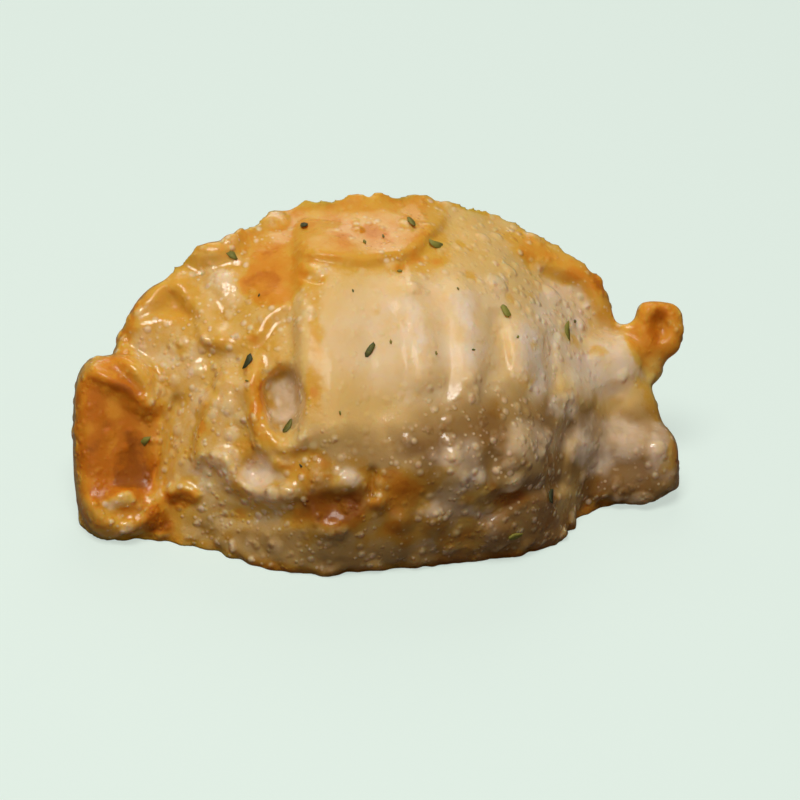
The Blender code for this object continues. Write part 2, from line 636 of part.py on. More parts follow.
def fuse_flakes(skin, flakes):
    """Union the flakes with the skin, and remove the loose ones."""
    toppings = bpy.data.collections.new("flakes")
    bpy.context.scene.collection.children.link(toppings)
    for flake in flakes:
        bpy.context.scene.collection.objects.unlink(flake)
        toppings.objects.link(flake)
    bake_modifier(skin, "BOOLEAN", operation="UNION", operand_type="COLLECTION", collection=toppings, solver="EXACT")
    for flake in flakes:
        bpy.data.objects.remove(flake)
    bpy.data.collections.remove(toppings)


def thin_out(piece, triangles):
    """Reduce the skin to about the given number of triangles, with its underside still flat."""
    bake_modifier(piece, "TRIANGULATE")
    share = triangles / len(piece.data.polygons)
    bake_modifier(piece, "DECIMATE", decimate_type="COLLAPSE", ratio=share)
    points = read_points(piece.data)
    points[points[:, 2] < BASE_SNAP, 2] = 0.0
    write_points(piece.data, points)


def dough_material():
    """Fried wheat dough: a warm cream with a soft oily gloss."""
    dough = bpy.data.materials.new("fried_dough")
    dough.use_nodes = True
    surface = dough.node_tree.nodes["Principled BSDF"]
    surface.inputs["Base Color"].default_value = (0.62, 0.40, 0.18, 1.0)
    surface.inputs["Roughness"].default_value = 0.42
    surface.inputs["Metallic"].default_value = 0.0
    return dough


def main():
    for old in list(bpy.data.objects):
        bpy.data.objects.remove(old)
    skin = make_skin()
    thin_out(skin, SKIN_TRIANGLES)
    fuse_flakes(skin, make_flakes(skin))
    keep_largest(skin)
    centre_on_base(skin)
    write_points(skin.data, read_points(skin.data) * MM)
    skin.data.materials.clear()
    skin.data.materials.append(dough_material())
    skin.data.shade_smooth()
    return skin


main()
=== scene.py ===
"""The looks of a pan-fried half-moon dumpling: its blistered, browned skin and the herb flakes on it.

The skin is modelled in millimetres, in the same frames as the solid that it replaces.
u runs along the base, v climbs the seam and w comes out of it; the seam leans back from upright.
The face frame is the plane that the front faces: a runs to the right in it and b upwards.
The finished meshes are scaled to metres and centred on the solid's box.
"""

import math

import bmesh
import bpy
import numpy as np
from mathutils import Matrix, Vector, kdtree, noise
from mathutils.bvhtree import BVHTree


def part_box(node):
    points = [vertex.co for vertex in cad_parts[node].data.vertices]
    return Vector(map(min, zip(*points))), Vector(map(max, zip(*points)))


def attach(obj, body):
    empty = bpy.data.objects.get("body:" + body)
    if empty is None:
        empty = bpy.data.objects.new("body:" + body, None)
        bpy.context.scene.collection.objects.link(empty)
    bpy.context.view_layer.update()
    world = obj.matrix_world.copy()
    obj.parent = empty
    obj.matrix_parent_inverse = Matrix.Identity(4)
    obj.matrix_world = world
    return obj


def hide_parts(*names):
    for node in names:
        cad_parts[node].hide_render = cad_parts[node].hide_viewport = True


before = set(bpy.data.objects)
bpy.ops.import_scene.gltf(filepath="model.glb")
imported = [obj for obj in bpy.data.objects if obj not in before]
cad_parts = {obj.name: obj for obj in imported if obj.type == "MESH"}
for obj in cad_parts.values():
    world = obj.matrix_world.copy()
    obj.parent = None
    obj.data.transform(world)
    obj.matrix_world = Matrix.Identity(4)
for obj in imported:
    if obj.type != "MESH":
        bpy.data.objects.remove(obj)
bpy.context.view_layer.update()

MM = 0.001
SEED = 7
NODE = "gyoza"
BODY = "root"

# The half-moon
LEAN = math.radians(32.5)
HALF_LENGTH = 37.5
RIM_HEIGHT = 40.5
RIM_POWER_LEFT = 2.2
RIM_POWER_RIGHT = 2.25
DEPTH_BELOW_FLOOR = 15.0
CREST_HALF_THICKNESS = 1.3
BELLY_FRONT = 17.2
BELLY_BACK = 14.5

# The face frame
FACE_TURN = math.radians(9.0)
FACE_TILT = math.radians(30.0)
FACE_RIGHT = np.array((math.cos(FACE_TURN), -math.sin(FACE_TURN), 0.0))
FACE_OUT = np.array((-math.sin(FACE_TURN) * math.cos(FACE_TILT),
                     -math.cos(FACE_TURN) * math.cos(FACE_TILT), math.sin(FACE_TILT)))
FACE_UP = np.cross(FACE_OUT, FACE_RIGHT)
VIEW_POINT = np.array((-150.3, -387.6, 254.0))
VIEW_DISTANCE = VIEW_POINT @ FACE_OUT

# Blisters: how many are tried, their least and greatest radius, and height as a share of radius
BLISTERS = (
    (110, 1.1, 2.1, 0.22),
    (800, 0.6, 1.2, 0.27),
    (1800, 0.3, 0.7, 0.30),
)
# The rise or the depth at which the masks of blisters and crevices are full
FULL_MASK_RISE = 0.35

# Herb flakes: those on the front as places in the face frame, then how many more there are
FLAKE_PLACES = (
    (-10.6, 35.0), (5.9, 32.8), (2.9, 35.4), (14.8, 24.6), (22.8, 22.0), (-2.4, 19.5),
    (-17.6, 18.2), (-12.5, 10.2), (-30.4, 8.4), (20.6, 1.2), (16.0, -3.6), (-19.6, 31.2),
)
BACK_FLAKES = 6
CRUMB_FLAKES = 16
FLAKE_LENGTH = 2.3
FLAKE_WIDTH = 1.1
FLAKE_THICKNESS = 0.16
FLAKE_CORNERS = 9

# Mesh resolution
FUSE_VOXEL = 0.7
SKIN_VOXEL = 0.316
BASE_SNAP = 0.12

# The camera, which stands at the view point
CAMERA_LENS = 176.0
CAMERA_SENSOR = 36.0
CAMERA_AIM = (0.6, 1.5, 14.6)

# Colours of the dough and the herb, linear
CREAM = (0.82, 0.54, 0.185)
# Pale dough, which also serves as painted light on places in shade and as a painted highlight on the right
# lobe
PALE_AND_LIT = (0.90, 0.72, 0.53)
# The filling seen through thin dough, made darker so that it also serves as painted shade low on the front
FILLING_AND_SHADE = (0.30, 0.150, 0.036)
# Bubble tops: paler skin, lightened further as painted glints
BLISTER_AND_GLINT = (0.90, 0.67, 0.40)
# Painted shade in the crevices, mixed in by their depth
CREVICE_SHADE = (0.60, 0.30, 0.06)
HERB_LIGHT = (0.26, 0.24, 0.03)
HERB_DARK = (0.045, 0.052, 0.012)
FLOOR_COLOUR = (0.26, 0.31, 0.29)
DARK_FLOOR_COLOUR = (0.12, 0.11, 0.10)
BACKGROUND = (0.80, 0.91, 0.83)

# What frying multiplies them by, from untouched to gold, orange, amber and brown, and at what browning
WHITE = (1.0, 1.0, 1.0)
TINTS = (
    (0.04, 0.32, (0.93, 0.75, 0.24)),
    (0.32, 0.58, (0.90, 0.54, 0.10)),
    (0.58, 0.80, (0.74, 0.34, 0.03)),
    (0.80, 1.02, (0.46, 0.19, 0.018)),
)

# Browned areas of the front: centre, radii, how square each is, and how brown
BROWNED_AREAS = (
    ((-34.8, 9.0), (7.2, 11.6), 4.0, 0.76),
    ((-35.4, 15.0), (4.6, 3.6), 2.0, 0.70),
    ((-32.4, 5.0), (4.4, 6.8), 3.0, 0.90),
    ((-27.0, 26.0), (4.2, 5.4), 3.0, 0.34),
    ((-33.6, 22.6), (3.4, 2.2), 2.0, 0.5),
    ((-14.4, 28.6), (4.8, 4.6), 5.0, 0.56),
    ((-16.5, 33.6), (3.4, 1.6), 2.0, 0.4),
    ((34.6, 22.0), (5.0, 6.4), 4.0, 0.60),
    ((-29.0, -1.0), (2.4, 3.2), 2.0, 0.66),
    ((-25.8, 1.4), (3.4, 1.8), 2.0, 0.58),
    ((-33.8, -1.2), (6.0, 2.4), 2.0, 0.48),
    ((-17.6, -0.4), (5.6, 1.5), 2.0, 0.42),
    ((-7.4, 0.0), (7.4, 4.0), 2.0, 0.66),
    ((-9.0, 3.2), (4.0, 2.4), 2.0, 0.50),
    ((0.4, 1.8), (6.0, 4.4), 2.0, 0.52),
    ((2.5, -2.6), (6.0, 2.6), 2.0, 0.42),
    ((9.6, -3.4), (4.4, 3.0), 2.0, 0.36),
    ((-11.0, 5.4), (5.5, 2.6), 2.0, 0.45),
    ((13.6, 1.2), (6.0, 2.6), 2.0, 0.36),
)
BROWNED_GAIN = 1.5

# Browned lines of the front: the curve, its width and how brown
BROWNED_LINES = (
    ([(-10.5, 32.8), (-5.0, 33.0), (-1.0, 33.2), (4.4, 34.4)], 4.6, 0.48),
    ([(12.0, 35.6), (20.5, 31.0), (25.8, 28.6), (28.8, 24.8), (32.0, 21.6)], 2.6, 0.54),
    ([(32.4, 17.0), (33.6, 13.0), (35.0, 10.0)], 1.3, 0.34),
    ([(-16.8, 21.0), (-17.2, 15.4), (-16.2, 10.6), (-13.6, 6.4)], 2.0, 0.52),
    ([(-9.4, 9.0), (-9.2, 20.0), (-9.6, 34.0)], 1.8, 0.30),
    ([(-24.4, 5.0), (-24.0, 10.0), (-21.0, 17.0)], 1.5, 0.52),
    ([(-22.8, 22.4), (-20.4, 19.8), (-17.0, 20.4), (-14.0, 24.6)], 1.8, 0.40),
    ([(-36.0, 21.0), (-31.4, 25.6), (-27.6, 29.4)], 1.6, 0.44),
)

# Areas with much less browning: the insides of the pocket, of the lip below it and of the folded end
CLEAN_AREAS = (
    ((-13.2, 13.2), (2.3, 4.2), 1.0),
    ((-15.4, 3.4), (4.0, 2.6), 1.0),
    ((-33.4, 1.0), (2.5, 1.2), 0.9),
)

# Pale areas and lines of the front: centre and radii, or the curve and its width, and how pale; some areas
# are painted light instead, marked below
PALE_AND_LIT_AREAS = (
    ((18.6, 19.0), (4.4, 6.4), 1.0),
    ((34.4, 16.6), (2.6, 3.6), 1.0),
    # Painted light, this and the next: lightens the creases around the right lobes, which fall in shade
    ((26.4, 6.4), (3.4, 3.0), 1.0),
    ((22.4, 12.6), (2.6, 2.4), 0.9),
    ((10.4, 2.6), (3.2, 2.8), 0.8),
    ((-5.6, 3.6), (2.8, 2.0), 0.7),
    # Painted light: lightens the shade below the left end of the lip under the pocket
    ((-22.4, 5.0), (4.0, 4.8), 1.0),
    # Painted light: lightens the valley right of the pleats, which falls in shade
    ((22.0, 23.0), (5.0, 8.0), 0.8),
    ((27.4, 17.6), (6.8, 5.0), 0.9),
    ((-13.2, 13.4), (2.6, 4.2), 0.62),
    ((-16.0, 4.4), (3.4, 2.8), 0.95),
    ((-32.8, 1.0), (2.4, 1.2), 0.85),
    ((-21.6, 31.8), (3.8, 2.6), 0.85),
    ((-21.0, 27.6), (3.6, 3.6), 0.6),
    ((-26.6, 18.6), (4.4, 3.6), 0.7),
    ((-22.6, 11.0), (4.6, 7.0), 0.55),
    ((-18.4, 18.0), (3.0, 3.4), 0.5),
    ((-30.0, 20.4), (3.0, 3.0), 0.6),
    ((8.6, 6.2), (3.6, 3.4), 0.5),
    ((17.6, 8.4), (3.4, 3.4), 0.45),
    # Painted light: lightens the groove below the lip, which lies in the ridge's shadow
    ((-18.4, 0.0), (7.0, 3.4), 0.6),
    ((9.0, 0.6), (7.0, 3.0), 0.4),
    ((8.0, -3.2), (7.0, 2.6), 0.4),
    # Painted highlight along the top of the right lobe
    ((28.0, 8.4), (8.0, 3.6), 0.5),
    ((35.0, 7.0), (2.4, 5.0), 0.7),
    ((-8.8, 29.8), (2.0, 1.4), 0.7),
)
PALE_GAIN = 1.6
PALE_LINES = (
    ([(4.4, 17.6), (4.4, 21.4), (3.0, 24.6), (0.8, 29.0)], 2.0, 0.85),
    ([(9.4, 15.4), (10.4, 19.8), (9.8, 24.0), (7.4, 28.2)], 2.2, 0.95),
)

# Areas where the filling shows through, some of them painted shade instead, marked below: centre, radii, how
# square, how steep and how much at most
FILLING_AND_SHADE_AREAS = (
    ((-3.0, 6.0), (9.0, 5.4), 2.0, 0.75, 1.0),
    ((-7.0, 0.8), (7.5, 4.6), 2.0, 1.5, 1.0),
    # Painted shade: darkens the lit top of the belly's bulge
    ((3.0, 8.0), (5.0, 4.4), 2.0, 0.95, 1.0),
    # Painted shade over the right lobe's front and top
    ((29.6, 4.2), (9.5, 6.0), 3.0, 1.4, 1.0),
    ((-16.4, 4.0), (4.0, 3.4), 2.0, 2.0, 0.2),
    # Partly painted shade: greys the inside of the pocket
    ((-13.2, 13.4), (2.6, 4.4), 2.0, 3.0, 0.6),
)

# The dough's surface: how much light enters it, how far each colour gets, and the oil on it
TRANSLUCENCY = 0.7
LIGHT_REACH = (1.0, 0.55, 0.22)
LIGHT_DEPTH = 2.2
DOUGH_SPECULAR = 0.2
OIL_ROUGHNESS = 0.1
OIL_IOR = 1.45

# The floor, the lights and the surroundings: places and sizes in metres
FLOOR_SIZE = 6.0
FLOOR_HEIGHT = -0.00005
FLOOR_GLOW = 0.64
LIGHTS = (
    ("key", (-0.15, -0.16, 0.60), 0.25, 2.75, (1.0, 0.96, 0.91)),
    ("back", (0.10, 0.45, 0.40), 0.30, 0.7, (1.0, 0.97, 0.93)),
    ("front", (-0.20, -0.65, 0.16), 0.5, 0.34, (1.0, 0.97, 0.94)),
)
LIGHT_AIM = (0.0, 0.0, 0.015)
FILL_COLOUR = (0.95, 0.93, 0.90)
FILL_STRENGTH = 0.14
BACKGROUND_STRENGTH = 0.8


def smooth_step(low, high, value):
    """0 below low, 1 above high, and a smooth rise between."""
    t = np.clip((value - low) / (high - low), 0.0, 1.0)
    return t * t * (3.0 - 2.0 * t)


def smooth_curve(value, places, heights):
    """A smooth curve through the given heights, flat beyond its ends."""
    places = np.array(places, dtype=float)
    heights = np.array(heights, dtype=float)
    slopes = np.gradient(heights, places)
    slopes[0] = 0.0
    slopes[-1] = 0.0
    value = np.clip(value, places[0], places[-1])
    k = np.clip(np.searchsorted(places, value, side="right") - 1, 0, len(places) - 2)
    span = places[k + 1] - places[k]
    t = (value - places[k]) / span
    rise = heights[k] * (2 * t ** 3 - 3 * t ** 2 + 1) + heights[k + 1] * (3 * t ** 2 - 2 * t ** 3)
    return rise + span * (slopes[k] * (t ** 3 - 2 * t ** 2 + t) + slopes[k + 1] * (t ** 3 - t ** 2))


def noise_field(points, scale, seed):
    """Smooth noise between about -1 and 1 at each point, with lumps of the given size."""
    shift = Vector((17.3 * seed, 5.1 * seed, 9.7 * seed))
    return np.array([noise.noise(Vector(point) / scale + shift) for point in points])


def read_points(mesh):
    """The mesh's points as rows of x, y and z."""
    points = np.empty(len(mesh.vertices) * 3, dtype=np.float64)
    mesh.vertices.foreach_get("co", points)
    return points.reshape(-1, 3)


def write_points(mesh, points):
    """Put the mesh's points at new places."""
    mesh.vertices.foreach_set("co", points.astype(np.float32).ravel())
    mesh.update()


def read_normals(mesh):
    """The normals at the mesh's points."""
    normals = np.empty(len(mesh.vertices) * 3, dtype=np.float64)
    mesh.vertices.foreach_get("normal", normals)
    return normals.reshape(-1, 3)


def new_object(name, data):
    """A new object in the scene, for a mesh, a light or the camera."""
    piece = bpy.data.objects.new(name, data)
    bpy.context.scene.collection.objects.link(piece)
    return piece


def drop_object(piece):
    """Remove an object together with its mesh."""
    mesh = piece.data
    bpy.data.objects.remove(piece)
    bpy.data.meshes.remove(mesh)


def new_sphere(name, segments, rings):
    """A unit sphere as a new object, its poles on Z."""
    mesh = bpy.data.meshes.new(name)
    bm = bmesh.new()
    bmesh.ops.create_uvsphere(bm, u_segments=segments, v_segments=rings, radius=1.0)
    bm.to_mesh(mesh)
    bm.free()
    return new_object(name, mesh)


def join(pieces, name):
    """All pieces as one object, still as separate shells."""
    bm = bmesh.new()
    for piece in pieces:
        bm.from_mesh(piece.data)
        drop_object(piece)
    mesh = bpy.data.meshes.new(name)
    bm.to_mesh(mesh)
    bm.free()
    return new_object(name, mesh)


def bake_modifier(piece, kind, **values):
    """Add one modifier, take its result as the piece's mesh, and drop the modifier."""
    modifier = piece.modifiers.new(kind.lower(), kind)
    for key, value in values.items():
        setattr(modifier, key, value)
    graph = bpy.context.evaluated_depsgraph_get()
    graph.update()
    result = bpy.data.meshes.new_from_object(piece.evaluated_get(graph))
    old = piece.data
    piece.modifiers.clear()
    piece.data = result
    bpy.data.meshes.remove(old)


def seam_to_world(u, v, w):
    """Points of the seam frame in the dumpling's own frame."""
    y = v * math.sin(LEAN) - w * math.cos(LEAN)
    z = v * math.cos(LEAN) + w * math.sin(LEAN)
    return np.stack([u, y, z], axis=-1)


def face_point(a, b, out):
    """The point that is seen at a, b and stands the given distance in front of the face plane."""
    foot = a * FACE_RIGHT + b * FACE_UP
    return foot + (VIEW_POINT - foot) * (out / VIEW_DISTANCE)


def face_places(points):
    """Where points are seen in the face plane."""
    rays = points - VIEW_POINT
    feet = VIEW_POINT - rays * (VIEW_DISTANCE / (rays @ FACE_OUT))[:, None]
    return feet @ FACE_RIGHT, feet @ FACE_UP


def rim_share(u, v):
    """How far a point of the seam lies from the base's middle to the rim, 1 on the rim."""
    height = np.where(v > 0.0, RIM_HEIGHT, DEPTH_BELOW_FLOOR)
    power = np.where(u > 0.0, RIM_POWER_RIGHT, RIM_POWER_LEFT)
    return ((np.abs(u) / HALF_LENGTH) ** power + (np.abs(v) / height) ** power) ** (1.0 / power)


def front_depth(u, v):
    """How far the dough stands out in front of the seam."""
    share = rim_share(u, np.maximum(v, 0.0))
    along = np.clip(1.0 - (np.abs(u) / 39.0) ** 2.3, 0.0, 1.0) ** 0.9
    fall = smooth_curve(share, [0.0, 0.2, 0.35, 0.52, 0.75, 0.87, 0.93, 1.2],
                        [0.97, 1.0, 0.99, 0.86, 0.48, 0.17, 0.0, 0.0])
    lower = 1.0 - np.clip((4.4 - v) / 19.2, 0.0, 1.0) ** 2
    pinch = smooth_step(14.0, 30.0, np.abs(u)) * smooth_step(9.0, -2.0, v)
    return CREST_HALF_THICKNESS + BELLY_FRONT * along * fall * lower * (1.0 - 0.6 * pinch)


def back_depth(u, v):
    """How far the dough stands out behind the seam."""
    share = rim_share(u, np.maximum(v, 0.0))
    along = np.clip(1.0 - (np.abs(u) / 40.0) ** 2.6, 0.0, 1.0)
    fall = smooth_curve(share, [0.0, 0.15, 0.3, 0.45, 0.6, 0.72, 0.82, 1.2],
                        [1.0, 1.0, 0.96, 0.74, 0.38, 0.12, 0.0, 0.0])
    return CREST_HALF_THICKNESS + BELLY_BACK * along * fall


def crest_wave(u, v):
    """The sway of the crest's edge in front of and behind the seam."""
    share = rim_share(u, np.maximum(v, 0.0))
    wave = 1.1 * np.sin(u / 4.1 + 0.8) + 0.7 * np.sin(u / 2.3 + 2.0)
    return wave * smooth_step(0.82, 1.0, share)


def rim_radius(angle):
    """The rim's distance from the base's middle, with the uneven edge that crimping leaves."""
    uneven = 0.5 * np.sin(9.0 * angle + 0.6) + 0.35 * np.sin(17.0 * angle + 2.2)
    return 1.0 / rim_share(np.cos(angle), np.sin(angle)) + np.where(np.sin(angle) > 0.0, uneven, 0.0)


def make_half_moon():
    """The filled half-moon of dough with its flat crest, front and back in one closed form."""
    piece = new_sphere("half_moon", 240, 120)
    ball = read_points(piece.data)
    angle = np.arctan2(ball[:, 1], ball[:, 0])
    latitude = np.arcsin(np.clip(ball[:, 2], -1.0, 1.0))
    share = 1.0 - np.abs(latitude) / (math.pi / 2.0)
    reach = rim_radius(angle) * share
    u = reach * np.cos(angle)
    v = reach * np.sin(angle)
    close = np.sqrt(np.clip(1.0 - share ** 14, 0.0, 1.0))
    w = np.where(latitude > 0.0, front_depth(u, v), -back_depth(u, v)) * close
    w = w + crest_wave(u, v)
    write_points(piece.data, seam_to_world(u, v, w))
    return piece


def make_block(name, place, size, power, turn=0.0, yaw=0.0):
    """A rounded block: a sphere squared off by its power, placed and turned in the face frame.

    The place is a, b and the distance out, the size is across, up and out.
    """
    piece = new_sphere(name, 48, 32)
    ball = read_points(piece.data)
    reach = (np.abs(ball) ** power).sum(axis=1) ** (1.0 / power)
    block = ball / reach[:, None] * (np.array(size) / 2.0)
    spin = Matrix.Rotation(math.radians(turn), 3, "Z") @ Matrix.Rotation(math.radians(yaw), 3, "Y")
    block = block @ np.array(spin).T
    axes = np.stack([FACE_RIGHT, FACE_UP, FACE_OUT])
    write_points(piece.data, block @ axes + face_point(*place))
    return piece


def make_left_ear():
    """The thick folded end on the left, which the face later hollows, and the pleat above it."""
    ear = make_block("left_ear", (-34.0, 7.6, 4.4), (10.4, 22.5, 8.5), 3.6, turn=1.0)
    pleat = make_block("left_pleat", (-29.0, 21.0, 1.6), (9.0, 15.0, 6.0), 2.4, turn=-24.0)
    return [ear, pleat]


def make_right_end():
    """The soft lobes at the right end and the lip below the belly."""
    lobe = make_block("right_lobe", (28.6, 5.4, -3.0), (16.6, 10.4, 11.5), 4.0, turn=3.0, yaw=-6.0)
    side = make_block("right_side", (28.9, 11.2, -4.4), (11.0, 17.0, 10.0), 3.0, turn=18.0)
    cream = make_block("cream_lobe", (25.6, 17.6, -3.0), (14.0, 9.5, 9.5), 2.4, turn=-8.0)
    lip = make_block("lower_lip", (18.0, -0.6, 4.6), (10.4, 6.0, 8.0), 2.4, turn=10.0)
    return [lobe, side, cream, lip]


def make_right_curl():
    """The turned-out tip at the crest's right end: a small leaf on a narrow stem."""
    leaf = make_block("curl_leaf", (34.7, 22.4, -3.0), (6.2, 7.2, 3.8), 3.4, turn=-8.0)
    left_knob = make_block("curl_left_knob", (33.2, 24.3, -2.8), (3.2, 3.4, 4.2), 2.4)
    stem = make_block("curl_stem", (33.3, 18.8, -3.8), (4.6, 8.0, 3.8), 2.2, turn=-20.0)
    web = make_block("curl_web", (31.8, 20.4, -4.2), (6.6, 4.4, 3.6), 2.4, turn=-40.0)
    return [leaf, left_knob, stem, web]


def curve_points(points, steps=8):
    """A smooth run of points through the given ones."""
    knots = np.array(points, dtype=float)
    ends = np.vstack([2 * knots[0] - knots[1], knots, 2 * knots[-1] - knots[-2]])
    run = []
    for k in range(1, len(ends) - 2):
        for step in range(steps):
            t = step / steps
            run.append(0.5 * (2 * ends[k] + (ends[k + 1] - ends[k - 1]) * t
                              + (2 * ends[k - 1] - 5 * ends[k] + 4 * ends[k + 1] - ends[k + 2]) * t ** 2
                              + (3 * ends[k] - ends[k - 1] - 3 * ends[k + 1] + ends[k + 2]) * t ** 3))
    run.append(ends[-2])
    return np.array(run)


def ridge(a, b, points, height, left, right):
    """A ridge along a curve, which falls off within left and right of it, as seen along its way."""
    run = curve_points(points)
    nearest = np.full(len(a), 1e9)
    side = np.zeros(len(a))
    way = np.zeros(len(a))
    for k in range(len(run) - 1):
        step = run[k + 1] - run[k]
        length = math.hypot(step[0], step[1])
        da = a - run[k, 0]
        db = b - run[k, 1]
        t = np.clip((da * step[0] + db * step[1]) / length ** 2, 0.0, 1.0)
        gap = np.hypot(da - t * step[0], db - t * step[1])
        closer = gap < nearest
        nearest = np.where(closer, gap, nearest)
        side = np.where(closer, da * step[1] - db * step[0], side)
        way = np.where(closer, (k + t) / (len(run) - 1), way)
    reach = np.where(side > 0.0, right, left)
    slope = np.clip(1.0 - (nearest / reach) ** 2, 0.0, 1.0) ** 1.5
    ends = smooth_step(0.0, 0.18, way) * smooth_step(1.0, 0.82, way)
    return height * slope * ends


def mound(a, b, centre, radii, height, turn=0.0, power=2.0):
    """A rounded mound, or with a negative height a hollow, over an ellipse."""
    c = math.cos(math.radians(turn))
    s = math.sin(math.radians(turn))
    da = a - centre[0]
    db = b - centre[1]
    along = (da * c + db * s) / radii[0]
    across = (db * c - da * s) / radii[1]
    return height * np.clip(1.0 - (along ** 2 + across ** 2) ** (power / 2.0), 0.0, 1.0) ** 1.5


def added_up(a, b, folds, rise=0.0):
    """The rise of all the given ridges and mounds together."""
    for form, *values in folds:
        rise = rise + form(a, b, *values)
    return rise


def left_ear_relief(a, b):
    """The sunken face of the folded end, the sloping ridges above it and the lip below it."""
    below_ridges = 17.4 - 0.78 * (a + 37.5) - b
    across = smooth_step(-41.0, -34.0, a) * smooth_step(-28.4, -30.6, a)
    rise = -1.1 * across * smooth_step(0.2, 4.2, b) * smooth_step(-0.8, 2.0, below_ridges)
    return added_up(a, b, [
        (mound, (-31.6, 5.4), (2.6, 4.4), -0.6),
        (ridge, [(-37.4, 21.0), (-34.4, 20.0), (-31.6, 17.4), (-29.4, 13.8), (-28.8, 11.0)], 1.3, 1.9, 1.5),
        (ridge, [(-38.4, 17.2), (-35.0, 16.2), (-31.6, 13.8), (-29.2, 11.0)], 0.6, 1.1, 1.1),
        (mound, (-33.2, 1.4), (2.6, 1.6), 1.0),
        (ridge, [(-38.6, 2.0), (-36.0, -1.2), (-32.0, -1.8), (-29.4, -1.0)], 1.0, 1.2, 1.6),
    ], rise)


def left_fold_relief(a, b):
    """The overlapping facets between the folded end and the pocket."""
    return added_up(a, b, [
        (ridge, [(-36.0, 21.0), (-31.4, 25.6), (-27.6, 29.6)], 1.2, 1.5, 3.0),
        (ridge, [(-21.6, 18.6), (-23.0, 22.4), (-25.0, 26.0), (-27.4, 29.8)], 1.5, 1.6, 3.2),
        (ridge, [(-33.0, 21.4), (-28.6, 23.0), (-25.0, 22.0), (-22.4, 19.0)], 1.2, 1.6, 3.6),
        (mound, (-26.8, 18.0), (4.8, 4.8), 1.0),
        (ridge, [(-25.6, 31.0), (-22.0, 33.2), (-18.0, 34.2)], 1.2, 1.2, 3.4),
        (mound, (-21.6, 31.6), (3.0, 2.0), 0.9),
        (mound, (-20.6, 27.4), (3.4, 3.6), 0.9),
        (ridge, [(-22.6, 21.4), (-20.0, 20.2), (-17.2, 21.6), (-15.2, 24.4), (-11.2, 25.6)], 0.9, 3.6, 1.7),
        (ridge, [(-23.6, 4.0), (-23.8, 8.6), (-22.2, 13.6), (-19.6, 18.6)], 1.6, 1.0, 5.0),
        (ridge, [(-28.6, 1.0), (-28.0, 6.0), (-27.4, 11.5), (-26.0, 14.5)], -1.2, 0.9, 1.6),
        (mound, (-29.2, -0.8), (1.7, 2.8), 1.2),
        (ridge, [(-28.4, 1.8), (-25.6, 2.4), (-23.4, 1.0)], 1.1, 1.1, 1.3),
    ])


def pocket_relief(a, b):
    """The deep pocket where the smooth panel overlaps the pleat beside it."""
    return added_up(a, b, [
        (ridge, [(-10.6, 6.0), (-10.2, 11.0), (-10.0, 16.0), (-10.6, 22.0), (-10.5, 28.0),
                 (-10.0, 38.0)], 1.7, 1.7, 8.0),
        (mound, (-13.2, 13.8), (2.9, 4.6), -2.7, -6.0, 3.0),
        (ridge, [(-16.6, 21.0), (-17.2, 15.6), (-16.4, 11.0), (-14.2, 8.0), (-11.8, 8.0),
                 (-10.0, 10.0)], 1.2, 1.5, 1.6),
        (ridge, [(-17.8, 13.0), (-17.0, 9.4), (-15.2, 6.4), (-12.6, 4.8)], 0.9, 1.1, 1.0),
        (mound, (-16.4, 4.8), (2.4, 2.6), -2.0, -38.0),
        (ridge, [(-21.0, 7.8), (-20.0, 4.6), (-17.8, 2.4), (-14.8, 1.7), (-11.0, 2.9)], 1.5, 1.3, 1.9),
        (ridge, [(-23.0, -0.4), (-16.0, -1.2), (-9.0, -0.4)], -0.5, 1.6, 1.6),
    ])


def panel_relief(a, b):
    """The smooth panel below the crest, the crest's turned edge and the pleats to its right."""
    return added_up(a, b, [
        (ridge, [(-13.0, 32.6), (-9.0, 31.8), (-4.0, 31.3), (0.0, 31.5), (3.6, 32.8), (6.0, 35.6),
                 (8.0, 38.0)], 1.4, 6.0, 1.2),
        (ridge, [(-11.6, 28.9), (-9.8, 28.6), (-8.0, 28.2)], -0.9, 0.5, 0.5),
        (mound, (-9.0, 29.8), (1.6, 0.9), 0.7),
        (ridge, [(4.8, 13.0), (4.8, 19.0), (3.6, 24.0), (0.6, 29.4)], 0.9, 2.8, 2.6),
        (ridge, [(9.2, 12.0), (10.4, 18.0), (9.8, 24.0), (7.2, 29.4)], 1.1, 2.8, 2.4),
        (mound, (17.4, 19.4), (2.9, 5.4), 1.6, 4.0),
        (ridge, [(21.0, 13.5), (20.8, 18.0), (20.4, 23.0)], -0.6, 1.2, 1.2),
        (ridge, [(13.8, 15.6), (14.0, 20.0), (13.6, 25.0)], -0.8, 1.5, 1.5),
        (ridge, [(12.0, 33.2), (19.0, 29.0), (24.0, 26.6), (26.8, 22.6), (31.0, 19.2)], -0.9, 1.2, 1.8),
        (ridge, [(12.6, 35.2), (20.0, 31.2), (25.6, 28.6), (28.6, 24.4), (32.0, 21.4)], 1.5, 2.0, 1.5),
        (mound, (34.7, 22.6), (1.8, 2.6), -1.2),
    ])


